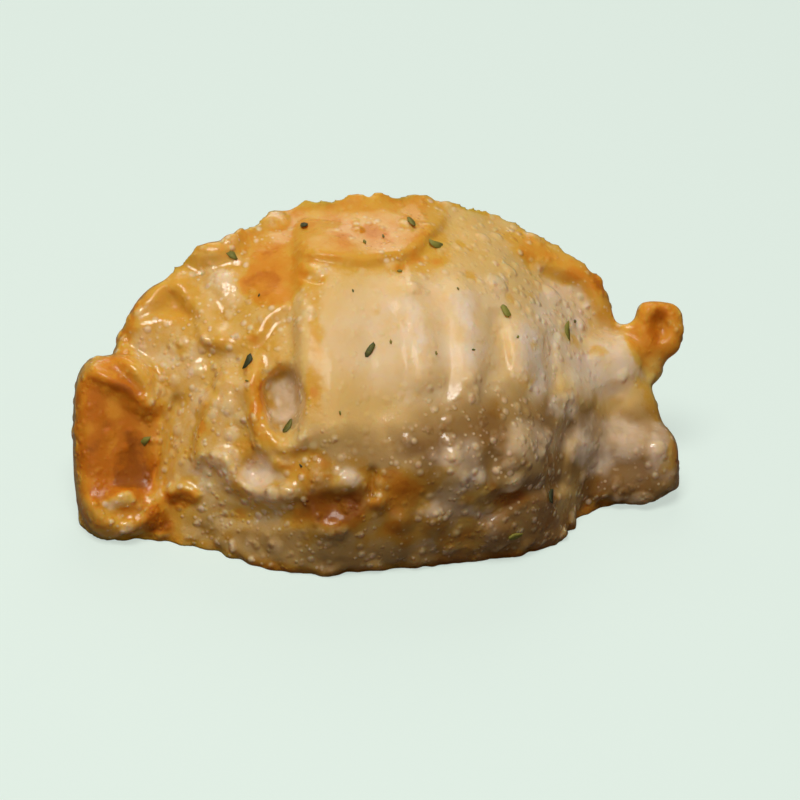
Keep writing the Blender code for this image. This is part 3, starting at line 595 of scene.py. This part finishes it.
def belly_relief(a, b):
    """The full belly on the right, its uneven lower edge and the lobes at the right end."""
    return added_up(a, b, [
        (mound, (9.5, 7.0), (13.5, 8.5), 2.2),
        (mound, (8.2, 5.8), (3.0, 3.2), 0.9),
        (mound, (17.2, 7.6), (3.4, 3.8), 1.3),
        (mound, (13.0, 5.0), (1.6, 3.4), -1.0),
        (ridge, [(21.8, 1.2), (21.6, 4.4), (22.2, 8.4), (24.2, 11.4)], -1.9, 1.7, 2.6),
        (ridge, [(21.8, 10.8), (25.0, 11.2), (28.0, 13.0), (30.6, 14.6)], -0.4, 2.2, 2.0),
        (mound, (23.8, 14.4), (3.8, 2.8), 1.0),
        (ridge, [(22.0, 7.0), (26.0, 7.6), (32.0, 7.4), (36.0, 6.4)], 0.4, 2.6, 2.6),
        (ridge, [(11.0, -1.4), (14.0, 0.2), (18.0, 2.2), (23.4, 2.4)], -1.3, 1.9, 1.5),
        (mound, (14.0, -3.4), (3.4, 2.0), 1.0),
        (mound, (6.0, -1.6), (2.6, 2.2), 1.0),
        (mound, (-1.4, 0.4), (1.7, 1.4), 1.0),
        (mound, (1.8, -1.8), (2.2, 1.5), 0.9),
        (mound, (-6.5, 0.4), (3.4, 2.4), -1.4),
        (ridge, [(-2.6, 0.6), (-2.2, 3.0), (-1.8, 5.4)], -1.0, 0.9, 0.9),
        (mound, (-5.4, 3.4), (1.8, 1.3), 0.8),
        (mound, (-7.0, -2.8), (2.6, 1.5), 0.8),
    ])


def seam_places(points):
    """Where points lie along the seam and how far up it."""
    return points[:, 0], points[:, 1] * math.sin(LEAN) + points[:, 2] * math.cos(LEAN)


def back_relief(points):
    """The soft dents and swells of the plain back, and the crimps below its rim."""
    x = points[:, 0]
    z = points[:, 2]
    rise = added_up(x, z, [
        (ridge, [(-24.0, 22.0), (-21.0, 15.0), (-22.0, 7.0)], -0.9, 2.6, 3.4),
        (ridge, [(-8.0, 25.0), (-9.0, 18.0), (-6.0, 10.0)], 0.8, 3.4, 2.4),
        (ridge, [(6.0, 25.0), (8.0, 17.0), (5.0, 9.0)], -0.8, 2.4, 3.4),
        (ridge, [(20.0, 22.0), (22.0, 15.0), (19.0, 8.0)], 0.9, 3.4, 2.2),
    ])
    u, v = seam_places(points)
    share = rim_share(u, v)
    crimps = np.sin(25.0 * np.arctan2(v, u) + 1.5 * noise_field(points, 9.0, 15))
    return rise + 0.9 * crimps * smooth_step(0.66, 0.82, share) * smooth_step(1.02, 0.92, share)


def front_share(piece):
    """Which points belong to the front: 1 where the skin faces forwards, 0 where it faces back."""
    return smooth_step(-0.05, 0.35, read_normals(piece.data) @ FACE_OUT)


def carve(piece):
    """Move the front in and out towards the view point by all its folds, and dent the back."""
    points = read_points(piece.data)
    facing = front_share(piece)
    a, b = face_places(points)
    a = a + 0.5 * noise_field(points, 4.5, 1)
    b = b + 0.5 * noise_field(points, 4.5, 2)
    rise = left_ear_relief(a, b) + left_fold_relief(a, b) + pocket_relief(a, b)
    rise += panel_relief(a, b) + belly_relief(a, b)
    behind = smooth_step(0.0, -0.5, read_normals(piece.data) @ FACE_OUT)
    dents = back_relief(points) + 0.5 * noise_field(points, 6.0, 13)
    points = points + (rise * facing / VIEW_DISTANCE)[:, None] * (VIEW_POINT - points)
    write_points(piece.data, points - (dents * behind)[:, None] * FACE_OUT)


def surface_tree(piece):
    """A search tree of the piece's faces, and the piece's extent."""
    mesh = piece.data
    points = read_points(mesh)
    faces = [tuple(polygon.vertices) for polygon in mesh.polygons]
    tree = BVHTree.FromPolygons([Vector(point) for point in points], faces)
    return tree, points.min(axis=0), points.max(axis=0)


def scatter_points(piece, count, rng):
    """Places spread over the whole surface: where random lines through the piece first meet it."""
    tree, low, high = surface_tree(piece)
    middle = (low + high) / 2.0
    places = []
    for _ in range(count):
        target = low + (high - low) * rng.random(3)
        direction = rng.normal(size=3)
        direction /= np.linalg.norm(direction)
        start = middle + direction * 200.0
        hit = tree.ray_cast(Vector(start), Vector(target - start).normalized())
        if hit[0] is not None:
            places.append(np.array(hit[0]))
    return np.array(places)


def blister_density(points, facing):
    """How readily blisters form: most on the left folds and the crest, least on the smooth panel."""
    a, b = face_places(points)
    panel = mound(a, b, (-2.5, 19.0), (9.0, 13.5), 1.0, power=3.0)
    panel = panel + mound(a, b, (11.0, 22.0), (9.0, 8.0), 0.7)
    lobes = mound(a, b, (28.5, 12.0), (8.0, 12.0), 0.7)
    smooth_parts = mound(a, b, (-13.2, 13.8), (2.6, 4.4), 1.0) + mound(a, b, (-34.4, 9.0), (5.4, 10.0), 1.0)
    smooth_parts += mound(a, b, (-14.0, 28.6), (5.0, 4.6), 1.0) + mound(a, b, (-27.4, 26.0), (3.6, 4.4), 0.7)
    smooth_parts += 0.15 * smooth_step(29.0, 32.0, b)
    left = smooth_step(-9.0, -18.0, a)
    belly = mound(a, b, (17.4, 7.4), (5.0, 5.0), 1.0) + mound(a, b, (9.0, 3.4), (5.0, 5.0), 0.8)
    patchy = 0.35 * noise_field(points, 7.0, 5)
    front = 0.42 + 0.25 * left + belly - panel - lobes - smooth_parts
    return np.clip(front * facing + 0.6 * (1.0 - facing) + patchy, 0.08, 1.0)


def blister_rise(piece):
    """How far each point of the fried skin is lifted by blisters, shallow domes of all sizes."""
    rng = np.random.default_rng(SEED)
    points = read_points(piece.data)
    tree = kdtree.KDTree(len(points))
    for index, point in enumerate(points):
        tree.insert(point, index)
    tree.balance()
    rise = np.zeros(len(points))
    density = blister_density(points, front_share(piece))
    for count, least, greatest, steepness in BLISTERS:
        places = scatter_points(piece, count, rng)
        chances = rng.random(len(places))
        radii = least + (greatest - least) * rng.random(len(places)) ** 2
        for place, chance, radius in zip(places, chances, radii):
            if chance > density[tree.find(place)[1]] or place[2] < 0.5:
                continue
            for _, index, gap in tree.find_range(Vector(place), radius):
                dome = steepness * radius * (1.0 - (gap / radius) ** 2) ** 0.8
                rise[index] = max(rise[index], dome)
    return rise


def uneven_rise(points):
    """The slow swell and the fine crinkle of dough that has fried."""
    return 0.12 * noise_field(points, 3.0, 3) + 0.25 * noise_field(points, 7.0, 4)


def lift(piece, rise):
    """Move the surface out along its normals, but leave the underside flat."""
    points = read_points(piece.data)
    clear = smooth_step(0.0, 0.8, points[:, 2])
    write_points(piece.data, points + (rise * clear)[:, None] * read_normals(piece.data))


def keep_largest(piece):
    """Drop loose scraps, so that one closed body is left."""
    bm = bmesh.new()
    bm.from_mesh(piece.data)
    bm.verts.ensure_lookup_table()
    unseen = set(bm.verts)
    shells = []
    while unseen:
        shell = []
        queue = [unseen.pop()]
        while queue:
            vert = queue.pop()
            shell.append(vert)
            for edge in vert.link_edges:
                other = edge.other_vert(vert)
                if other in unseen:
                    unseen.remove(other)
                    queue.append(other)
        shells.append(shell)
    shells.sort(key=len)
    for shell in shells[:-1]:
        bmesh.ops.delete(bm, geom=shell, context="VERTS")
    bm.to_mesh(piece.data)
    bm.free()


def ruffle_edge(piece):
    """Push the foot of the dumpling in and out, for the ragged edge that fried against the pan."""
    points = read_points(piece.data)
    outward = read_normals(piece.data) * (1.0, 1.0, 0.0)
    ruffle = 0.9 * noise_field(points, 3.4, 6) + 0.5 * noise_field(points, 1.5, 7)
    foot = smooth_step(4.0, 0.6, points[:, 2])
    write_points(piece.data, points + (ruffle * foot)[:, None] * outward)


def cut_base(piece):
    """Cut the underside flat, at height 0."""
    bm = bmesh.new()
    bm.from_mesh(piece.data)
    for vert in bm.verts:
        if abs(vert.co.z) < BASE_SNAP:
            vert.co.z = 0.0
    everything = bm.verts[:] + bm.edges[:] + bm.faces[:]
    bmesh.ops.bisect_plane(bm, geom=everything, dist=0.0001, plane_co=(0.0, 0.0, 0.0),
                           plane_no=(0.0, 0.0, 1.0), clear_inner=True)
    rim = [edge for edge in bm.edges if edge.is_boundary]
    bmesh.ops.contextual_create(bm, geom=rim)
    bmesh.ops.recalc_face_normals(bm, faces=bm.faces[:])
    bm.to_mesh(piece.data)
    bm.free()


def stained_places(points):
    """Where points are seen in the face plane, shaken a little so that no stain has a drawn edge."""
    a, b = face_places(points)
    a = a + 1.0 * noise_field(points, 3.0, 30) + 0.4 * noise_field(points, 1.2, 31)
    b = b + 1.0 * noise_field(points, 3.0, 32) + 0.4 * noise_field(points, 1.2, 33)
    return a, b


def line_mask(a, b, points, width):
    """A soft mask along a curve, 1 on it and 0 beyond its width."""
    return ridge(a, b, points, 1.0, width, width)


def browning(points, facing):
    """How brown each point is fried, from 0 to 1: the front's own stains, the rim, the base and the back."""
    a, b = stained_places(points)
    spread = noise_field(points, 5.0, 20)
    front = 0.22 * smooth_step(-8.0, -15.0, a) * smooth_step(-7.0, -1.0, b)
    front = np.maximum(front, 0.46 * smooth_step(27.0, 32.0, b) * (1.0 - 0.75 * smooth_step(4.0, 9.0, a)))
    for centre, radii, power, amount in BROWNED_AREAS:
        area = np.clip(BROWNED_GAIN * mound(a, b, centre, radii, 1.0, power=power), 0.0, 1.0)
        front = np.maximum(front, amount * area)
    for run, width, amount in BROWNED_LINES:
        front = np.maximum(front, amount * line_mask(a, b, run, width))
    ridges = line_mask(a, b, [(-37.4, 20.2), (-34.0, 19.2), (-31.2, 17.0), (-29.0, 13.4), (-28.4, 11.2)], 1.5)
    front = front * (1.0 - 0.55 * ridges) + 0.2 * ridges
    clean = sum(mound(a, b, centre, radii, amount, power=4.0) for centre, radii, amount in CLEAN_AREAS)
    front = front * (1.0 - 0.8 * np.clip(clean, 0.0, 1.0))
    crest = smooth_step(0.92, 1.0, rim_share(*seam_places(points)))
    rim = crest * (0.38 + 0.4 * spread)
    base = smooth_step(2.0, 0.0, points[:, 2]) * (0.52 + 0.4 * spread)
    blotches = smooth_step(-0.1, 0.55, noise_field(points, 9.0, 14)) * 0.5
    foot = smooth_step(12.0, 1.0, points[:, 2] + 5.0 * spread) * 0.62
    back = (1.0 - facing) * np.maximum.reduce([blotches, foot, np.full(len(a), 0.14)])
    spots = smooth_step(0.25, 0.6, noise_field(points, 3.2, 11)) * 0.22
    front = front * (0.92 + 0.3 * noise_field(points, 2.4, 21))
    return np.clip(np.maximum.reduce([front * facing, rim, base, back]) + spots, 0.0, 1.0)


def paleness_and_painted_light(points, facing):
    """Where the dough stays white: the right half, the pleats there and the inside of the pockets; with
    painted light on places in shade and a painted highlight on the right lobe.
    """
    a, b = stained_places(points)
    pale = mound(a, b, (5.0, 21.2), (18.0, 9.6), 0.58, power=3.0)
    for centre, radii, amount in PALE_AND_LIT_AREAS:
        area = np.clip(PALE_GAIN * mound(a, b, centre, radii, 1.0), 0.0, 1.0)
        pale = np.maximum(pale, amount * area)
    for run, width, amount in PALE_LINES:
        pale = np.maximum(pale, amount * line_mask(a, b, run, width))
    return np.clip(pale * facing * (0.9 + 0.3 * noise_field(points, 3.0, 22)), 0.0, 1.0)


def filling_and_painted_shade(points, facing):
    """Where thin dough shows the grey-brown filling on the belly and the lobes, with painted shade along the
    lower edge, in the pocket, in the crease beside the right lobe and on lit bulges.
    """
    a, b = stained_places(points)
    belly = smooth_step(-3.0, 8.0, a) * smooth_step(24.0, 21.0, a) * smooth_step(19.0, 9.5, b)
    streaks = mound(a, b, (8.0, 5.0), (2.4, 4.6), 0.75) + mound(a, b, (17.6, 8.0), (3.4, 3.4), 0.6)
    shade = belly * (1.0 - streaks)
    # Painted shade: darker towards the lower edge, where the belly turns away from the light
    lower_edge = smooth_step(3.6, -1.0, b - 2.6 * smooth_step(-10.0, -14.0, a))
    shade = np.maximum(shade, 0.75 * lower_edge * smooth_step(-14.0, -8.0, a))
    shade = np.maximum(shade, 0.65 * smooth_step(0.0, -3.6, b) * smooth_step(-28.0, -22.0, a))
    shade = np.maximum(shade, 0.85 * smooth_step(22.0, 25.0, a) * smooth_step(15.0, 11.0, b))
    for centre, radii, power, gain, most in FILLING_AND_SHADE_AREAS:
        shade = np.maximum(shade, np.clip(gain * mound(a, b, centre, radii, 1.0, power=power), 0.0, most))
    # Painted shade in the crease between the belly and the right lobe
    shade = np.maximum(shade, line_mask(a, b, [(21.8, 1.0), (21.6, 5.0), (22.2, 9.0), (24.4, 11.6)], 2.6))
    return np.clip(shade * facing * (0.95 + 0.4 * noise_field(points, 4.0, 12)), 0.0, 1.0)


def store_mask(mesh, name, values):
    """Keep a number for each point of the mesh, for the material to read."""
    layer = mesh.attributes.new(name, "FLOAT", "POINT")
    layer.data.foreach_set("value", np.asarray(values, dtype=np.float32))


def cavity(piece):
    """How deep each point lies in a crevice: how far it is below a smoothed copy of the surface."""
    points = read_points(piece.data)
    normals = read_normals(piece.data)
    copy = new_object("smoothed", piece.data.copy())
    bake_modifier(copy, "SMOOTH", factor=0.9, iterations=24)
    depth = ((read_points(copy.data) - points) * normals).sum(axis=1)
    drop_object(copy)
    return np.clip(depth / FULL_MASK_RISE, -1.0, 1.0)


def make_skin():
    """The dumpling's skin with its finest relief, and the masks that its material reads."""
    skin = join([make_half_moon()] + make_left_ear() + make_right_end() + make_right_curl(), "skin")
    bake_modifier(skin, "REMESH", mode="VOXEL", voxel_size=FUSE_VOXEL)
    bake_modifier(skin, "SMOOTH", factor=0.5, iterations=4)
    bake_modifier(skin, "REMESH", mode="VOXEL", voxel_size=SKIN_VOXEL)
    carve(skin)
    bake_modifier(skin, "REMESH", mode="VOXEL", voxel_size=SKIN_VOXEL)
    bake_modifier(skin, "SMOOTH", factor=0.5, iterations=2)
    keep_largest(skin)
    ruffle_edge(skin)
    cut_base(skin)
    facing = front_share(skin)
    domes = blister_rise(skin)
    lift(skin, domes + uneven_rise(read_points(skin.data)))
    points = read_points(skin.data)
    hollows = cavity(skin)
    store_mask(skin.data, "blister", np.clip(domes / FULL_MASK_RISE, 0.0, 1.0))
    store_mask(skin.data, "bubbly", blister_density(points, facing))
    # The crevice depth, read by the material for painted shade in the crevices
    store_mask(skin.data, "hollow", hollows)
    store_mask(skin.data, "brown", browning(points, facing))
    # The pale and filling masks also carry painted light and painted shade
    store_mask(skin.data, "pale", paleness_and_painted_light(points, facing))
    store_mask(skin.data, "filling", filling_and_painted_shade(points, facing))
    return skin


def make_herb_flake(bm, shade_layer, place, normal, size, rng):
    """One dried leaf scrap: a thin torn plate, curled a little, with one shade all over."""
    length = FLAKE_LENGTH * size
    width = FLAKE_WIDTH * size
    outline = []
    for corner in range(FLAKE_CORNERS):
        angle = 2.0 * math.pi * corner / FLAKE_CORNERS
        reach = 0.5 * rng.uniform(0.62, 1.12)
        outline.append((length * reach * math.cos(angle), width * reach * math.sin(angle)))
    curl = rng.uniform(0.05, 0.22) / size
    shade = rng.random()
    turn = Vector((0.0, 0.0, 1.0)).rotation_difference(Vector(normal)).to_matrix().to_4x4()
    tilt = Matrix.Rotation(rng.uniform(-0.3, 0.3), 4, "X") @ Matrix.Rotation(rng.uniform(-0.3, 0.3), 4, "Y")
    matrix = Matrix.Translation(Vector(place)) @ turn @ Matrix.Rotation(rng.uniform(0.0, 6.3), 4, "Z") @ tilt
    layers = []
    for level in (0.0, FLAKE_THICKNESS):
        centre = bm.verts.new(matrix @ Vector((0.0, 0.0, level + 0.02)))
        rim = []
        for x, y in outline:
            rise = level + curl * (x * x + 2.0 * y * y)
            rim.append(bm.verts.new(matrix @ Vector((x, y, rise))))
        for vert in [centre] + rim:
            vert[shade_layer] = shade
        layers.append((centre, rim))
    (low_centre, low), (high_centre, high) = layers
    for k in range(FLAKE_CORNERS):
        after = (k + 1) % FLAKE_CORNERS
        bm.faces.new((high_centre, high[k], high[after]))
        bm.faces.new((low_centre, low[after], low[k]))
        bm.faces.new((low[k], low[after], high[after], high[k]))


def make_herb_flakes(skin):
    """All the herb flakes as one mesh: the front ones in their places, the rest scattered."""
    rng = np.random.default_rng(SEED + 1)
    tree = surface_tree(skin)[0]
    hits = []
    for a, b in FLAKE_PLACES:
        start = face_point(a, b, 120.0)
        direction = Vector(face_point(a, b, 0.0) - start).normalized()
        hits.append((tree.ray_cast(Vector(start), direction), rng.uniform(0.8, 1.15)))
    for _ in range(BACK_FLAKES):
        start = Vector((rng.uniform(-26.0, 26.0), 120.0, rng.uniform(12.0, 28.0)))
        hits.append((tree.ray_cast(start, Vector((0.0, -1.0, 0.0))), rng.uniform(0.7, 1.1)))
    for _ in range(CRUMB_FLAKES):
        start = Vector((rng.uniform(-32.0, 32.0), rng.uniform(-12.0, 20.0), 120.0))
        hits.append((tree.ray_cast(start, Vector((0.0, 0.0, -1.0))), rng.uniform(0.2, 0.4)))
    bm = bmesh.new()
    shade_layer = bm.verts.layers.float.new("shade")
    for (place, normal, _, _), size in hits:
        if place is not None:
            make_herb_flake(bm, shade_layer, place, normal, size, rng)
    bmesh.ops.recalc_face_normals(bm, faces=bm.faces[:])
    mesh = bpy.data.meshes.new("herb_flakes")
    bm.to_mesh(mesh)
    bm.free()
    return new_object("herb_flakes", mesh)


class Nodes:
    """Short calls for building a material's node tree."""

    def __init__(self, name):
        self.material = bpy.data.materials.new(name)
        self.material.use_nodes = True
        self.tree = self.material.node_tree
        self.surface = self.tree.nodes["Principled BSDF"]

    def link(self, source, target):
        """Lead one socket into another."""
        self.tree.links.new(source, target)

    def feed(self, value, target):
        """Lead a socket into another, or set that to a number or a colour."""
        if isinstance(value, bpy.types.NodeSocket):
            self.link(value, target)
        elif isinstance(value, tuple):
            target.default_value = (*value, 1.0)
        else:
            target.default_value = value

    def mask(self, name):
        """A number that the mesh keeps for each of its points."""
        node = self.tree.nodes.new("ShaderNodeAttribute")
        node.attribute_name = name
        return node.outputs["Fac"]

    def noise(self, size, detail=3.0, roughness=0.55):
        """Noise with lumps of the given size in millimetres, from 0 to 1."""
        node = self.tree.nodes.new("ShaderNodeTexNoise")
        node.inputs["Scale"].default_value = 1.0 / (size * MM)
        node.inputs["Detail"].default_value = detail
        node.inputs["Roughness"].default_value = roughness
        self.link(self.place(), node.inputs["Vector"])
        return node.outputs["Fac"]

    def cells(self, size):
        """Distance to the nearest of many scattered points, for pimples of the given spacing."""
        node = self.tree.nodes.new("ShaderNodeTexVoronoi")
        node.feature = "SMOOTH_F1"
        node.inputs["Smoothness"].default_value = 0.35
        node.inputs["Scale"].default_value = 1.0 / (size * MM)
        self.link(self.place(), node.inputs["Vector"])
        return node.outputs["Distance"]

    def place(self):
        """The place on the object, in metres."""
        node = self.tree.nodes.new("ShaderNodeTexCoord")
        return node.outputs["Object"]

    def math(self, operation, first, second):
        """A sum on two numbers, each a socket or given."""
        node = self.tree.nodes.new("ShaderNodeMath")
        node.operation = operation
        self.feed(first, node.inputs[0])
        self.feed(second, node.inputs[1])
        return node.outputs[0]

    def span(self, value, low, high, out_low=0.0, out_high=1.0):
        """Map low..high smoothly to out_low..out_high."""
        node = self.tree.nodes.new("ShaderNodeMapRange")
        node.interpolation_type = "SMOOTHSTEP"
        self.link(value, node.inputs["Value"])
        for key, number in (("From Min", low), ("From Max", high), ("To Min", out_low), ("To Max", out_high)):
            node.inputs[key].default_value = number
        return node.outputs["Result"]

    def mix(self, amount, first, second, blend="MIX"):
        """The first colour, blended with the second by the amount."""
        node = self.tree.nodes.new("ShaderNodeMix")
        node.data_type = "RGBA"
        node.blend_type = blend
        self.feed(amount, node.inputs[0])
        self.feed(first, node.inputs[6])
        self.feed(second, node.inputs[7])
        return node.outputs[2]

    def bump(self, height, distance, strength, normal=None):
        """A normal bent by a height, whose full range is the given distance in millimetres."""
        node = self.tree.nodes.new("ShaderNodeBump")
        node.inputs["Distance"].default_value = distance * MM
        node.inputs["Strength"].default_value = strength
        self.link(height, node.inputs["Height"])
        if normal is not None:
            self.link(normal, node.inputs["Normal"])
        return node.outputs["Normal"]


def varied(kit, value, pattern, amount):
    """The value, raised and lowered by a noise pattern."""
    return kit.math("ADD", value, kit.math("MULTIPLY", kit.math("SUBTRACT", pattern, 0.5), amount))


def bubble_tops_and_glints(kit, mottle, bubbly, coarse, small):
    """Where light bubble tops show, paler skin with painted glints: on the blisters, and as dots in patches
    where it is bubbly.
    """
    raised = kit.math("MULTIPLY", kit.mask("blister"), kit.span(mottle, 0.3, 0.7))
    patches = kit.math("MULTIPLY", kit.span(kit.noise(4.0, 3.0, 0.6), 0.36, 0.60), kit.span(bubbly, 0.0, 0.5))
    small_dots = kit.math("MULTIPLY", kit.span(small, 0.30, 0.12), 0.8)
    dots = kit.math("MAXIMUM", kit.span(coarse, 0.34, 0.14), small_dots)
    return kit.math("MAXIMUM", raised, kit.math("MULTIPLY", dots, patches))


def dough_browning(kit, mottle, fine, hollow, tops):
    """The stored browning with its variation: more in the crevices as painted shade, and less on the bubble
    tops, which are paler skin with painted glints.
    """
    brown = varied(kit, varied(kit, kit.mask("brown"), fine, 0.25), mottle, 0.25)
    # Painted shade: browner the deeper the crevice
    brown = kit.math("ADD", brown, kit.span(hollow, 0.05, 0.9, 0.0, 0.10))
    return kit.math("SUBTRACT", brown, kit.math("MULTIPLY", tops, 0.16))


def dough_colour(kit, brown, hollow, tops):
    """Cream, pale or with the filling showing through, where these masks also carry painted light and shade;
    darkened in the crevices as painted shade, tinted by frying, and light on the bubbles with painted glints.
    """
    colour = kit.mix(kit.mask("filling"), CREAM, FILLING_AND_SHADE)
    pale = kit.math("MULTIPLY", kit.mask("pale"), kit.span(kit.noise(4.5, 3.0, 0.6), 0.35, 0.62, 0.55, 1.1))
    colour = kit.mix(pale, colour, PALE_AND_LIT)
    # Painted shade: the crevices darkened by their depth
    colour = kit.mix(kit.span(hollow, 0.1, 1.0, 0.0, 0.30), colour, CREVICE_SHADE)
    tint = WHITE
    for low, high, browner in TINTS:
        tint = kit.mix(kit.span(brown, low, high), tint, browner)
    colour = kit.mix(1.0, colour, tint, "MULTIPLY")
    # Light bubble tops: paler skin with painted glints
    return kit.mix(kit.math("MULTIPLY", tops, kit.span(brown, 0.48, 0.24, 0.0, 0.85)), colour, BLISTER_AND_GLINT)


def dough_normal(kit, grain, bubbly, coarse, small):
    """Pimples of two sizes, the small ones in clusters, and a fine grain over them."""
    bubbles = kit.span(bubbly, 0.05, 0.6, 0.35, 1.0)
    clusters = kit.math("MULTIPLY", bubbles, kit.span(kit.noise(3.2, 2.0), 0.42, 0.60, 0.15, 1.0))
    normal = kit.bump(kit.math("MULTIPLY", kit.span(coarse, 0.42, 0.0), bubbles), 0.32, 0.8)
    normal = kit.bump(kit.math("MULTIPLY", kit.span(small, 0.42, 0.0), clusters), 0.18, 0.9, normal)
    return kit.bump(grain, 0.11, 0.6, normal)


def dough_material():
    """Fried dough: coloured by its masks, with painted shade in the crevices and low on the front and painted
    glints on the bubbles, mottled, pimpled, a little translucent and glossy with oil.
    """
    kit = Nodes("fried_dough")
    surface = kit.surface.inputs
    mottle = kit.noise(3.0, 4.0, 0.6)
    fine = kit.noise(0.9, 3.0, 0.6)
    grain = kit.math("ADD", kit.math("MULTIPLY", fine, 0.6), kit.math("MULTIPLY", kit.noise(0.35, 2.0), 0.4))
    coarse = kit.cells(1.6)
    small = kit.cells(0.9)
    bubbly = kit.mask("bubbly")
    # The crevices' painted shade, left out where the dough is pale
    hollow = kit.math("MULTIPLY", kit.mask("hollow"), kit.span(kit.mask("pale"), 0.7, 0.2))
    tops = bubble_tops_and_glints(kit, mottle, bubbly, coarse, small)
    brown = dough_browning(kit, mottle, fine, hollow, tops)
    kit.link(dough_colour(kit, brown, hollow, tops), surface["Base Color"])
    roughness = kit.math("ADD", kit.span(grain, 0.3, 0.7, -0.08, 0.08), kit.span(bubbly, 0.1, 0.6, 0.5, 0.36))
    kit.link(roughness, surface["Roughness"])
    kit.link(dough_normal(kit, grain, bubbly, coarse, small), surface["Normal"])
    oil = kit.math("MULTIPLY", kit.span(bubbly, 0.1, 0.5, 0.2, 0.85), kit.span(brown, 0.3, 0.62, 1.0, 0.3))
    kit.link(oil, surface["Coat Weight"])
    surface["Coat Roughness"].default_value = OIL_ROUGHNESS
    surface["Coat IOR"].default_value = OIL_IOR
    surface["Specular IOR Level"].default_value = DOUGH_SPECULAR
    surface["Subsurface Weight"].default_value = TRANSLUCENCY
    surface["Subsurface Radius"].default_value = LIGHT_REACH
    surface["Subsurface Scale"].default_value = LIGHT_DEPTH * MM
    return kit.material


def herb_material():
    """Dried herb: each flake its own green, from olive to almost black."""
    kit = Nodes("dried_herb")
    shade = varied(kit, kit.mask("shade"), kit.noise(0.6), 0.8)
    kit.link(kit.mix(kit.span(shade, 0.1, 0.9), HERB_DARK, HERB_LIGHT), kit.surface.inputs["Base Color"])
    kit.link(kit.bump(kit.noise(0.3), 0.08, 0.6), kit.surface.inputs["Normal"])
    kit.surface.inputs["Roughness"].default_value = 0.65
    return kit.material


def floor_material():
    """A plain matt floor, pale to the camera but throwing as little light on the dumpling as a dark one."""
    kit = Nodes("pale_floor")
    seen = kit.tree.nodes.new("ShaderNodeLightPath").outputs["Is Camera Ray"]
    kit.link(kit.mix(seen, DARK_FLOOR_COLOUR, FLOOR_COLOUR), kit.surface.inputs["Base Color"])
    kit.surface.inputs["Roughness"].default_value = 0.8
    kit.surface.inputs["Specular IOR Level"].default_value = 0.2
    kit.surface.inputs["Emission Color"].default_value = (*BACKGROUND, 1.0)
    kit.link(kit.math("MULTIPLY", seen, FLOOR_GLOW), kit.surface.inputs["Emission Strength"])
    return kit.material


def dress(piece, material):
    """Give a piece its material and its body."""
    piece.data.materials.clear()
    piece.data.materials.append(material)
    piece.data.shade_smooth()
    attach(piece, BODY)


def make_floor():
    """A large plane under the dumpling."""
    bpy.ops.mesh.primitive_plane_add(size=FLOOR_SIZE, location=(0.0, 0.0, FLOOR_HEIGHT))
    floor = bpy.context.object
    floor.name = "floor"
    floor.data.materials.append(floor_material())


def make_light(name, place, size, energy, colour):
    """A square area light, turned to the dumpling."""
    data = bpy.data.lights.new(name, "AREA")
    data.shape = "SQUARE"
    data.size = size
    data.energy = energy
    data.color = colour
    lamp = new_object(name, data)
    lamp.location = place
    lamp.rotation_euler = (Vector(LIGHT_AIM) - Vector(place)).to_track_quat("-Z", "Y").to_euler()


def make_lights():
    """A large soft light above, weaker ones behind and in front."""
    for light in LIGHTS:
        make_light(*light)


def make_surroundings():
    """A weak fill from all sides, which to the camera is the pale background."""
    world = bpy.data.worlds.new("studio")
    world.use_nodes = True
    nodes = world.node_tree.nodes
    link = world.node_tree.links.new
    fill = nodes["Background"]
    fill.inputs["Color"].default_value = (*FILL_COLOUR, 1.0)
    fill.inputs["Strength"].default_value = FILL_STRENGTH
    seen = nodes.new("ShaderNodeBackground")
    seen.inputs["Color"].default_value = (*BACKGROUND, 1.0)
    seen.inputs["Strength"].default_value = BACKGROUND_STRENGTH
    blend = nodes.new("ShaderNodeMixShader")
    link(nodes.new("ShaderNodeLightPath").outputs["Is Camera Ray"], blend.inputs["Fac"])
    link(fill.outputs["Background"], blend.inputs[1])
    link(seen.outputs["Background"], blend.inputs[2])
    link(blend.outputs["Shader"], nodes["World Output"].inputs["Surface"])
    bpy.context.scene.world = world


def make_camera(shift):
    """The camera at the view point, tilted to the side as the face frame is."""
    place = (Vector(VIEW_POINT) - Vector(shift)) * MM
    aim = (Vector(CAMERA_AIM) - Vector(shift)) * MM
    back = (place - aim).normalized()
    side = Vector(FACE_UP).cross(back).normalized()
    turn = Matrix((side, back.cross(side), back)).transposed().to_4x4()
    data = bpy.data.cameras.new("camera")
    data.lens = CAMERA_LENS
    data.sensor_width = CAMERA_SENSOR
    data.clip_start = 0.01
    camera = new_object("camera", data)
    camera.matrix_world = Matrix.Translation(place) @ turn
    bpy.context.scene.camera = camera


def fit_to_solid(pieces):
    """Scale and shift the pieces, modelled in millimetres, so that together they fill the solid's box."""
    points = np.concatenate([read_points(piece.data) for piece in pieces])
    low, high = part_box(NODE)
    scale = min((np.array(high) - np.array(low)) / (points.max(axis=0) - points.min(axis=0)))
    shift = (points.min(axis=0) + points.max(axis=0)) / 2.0
    shift[2] = 0.0
    for piece in pieces:
        write_points(piece.data, (read_points(piece.data) - shift) * scale)
    return shift


def main():
    """The skin and the flakes in place of the solid, then the floor, the lights and the camera."""
    skin = make_skin()
    flakes = make_herb_flakes(skin)
    shift = fit_to_solid((skin, flakes))
    dress(skin, dough_material())
    dress(flakes, herb_material())
    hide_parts(NODE)
    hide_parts(NODE)
    make_floor()
    make_lights()
    make_surroundings()
    make_camera(shift)
    bpy.context.scene.view_settings.view_transform = "Standard"


main()
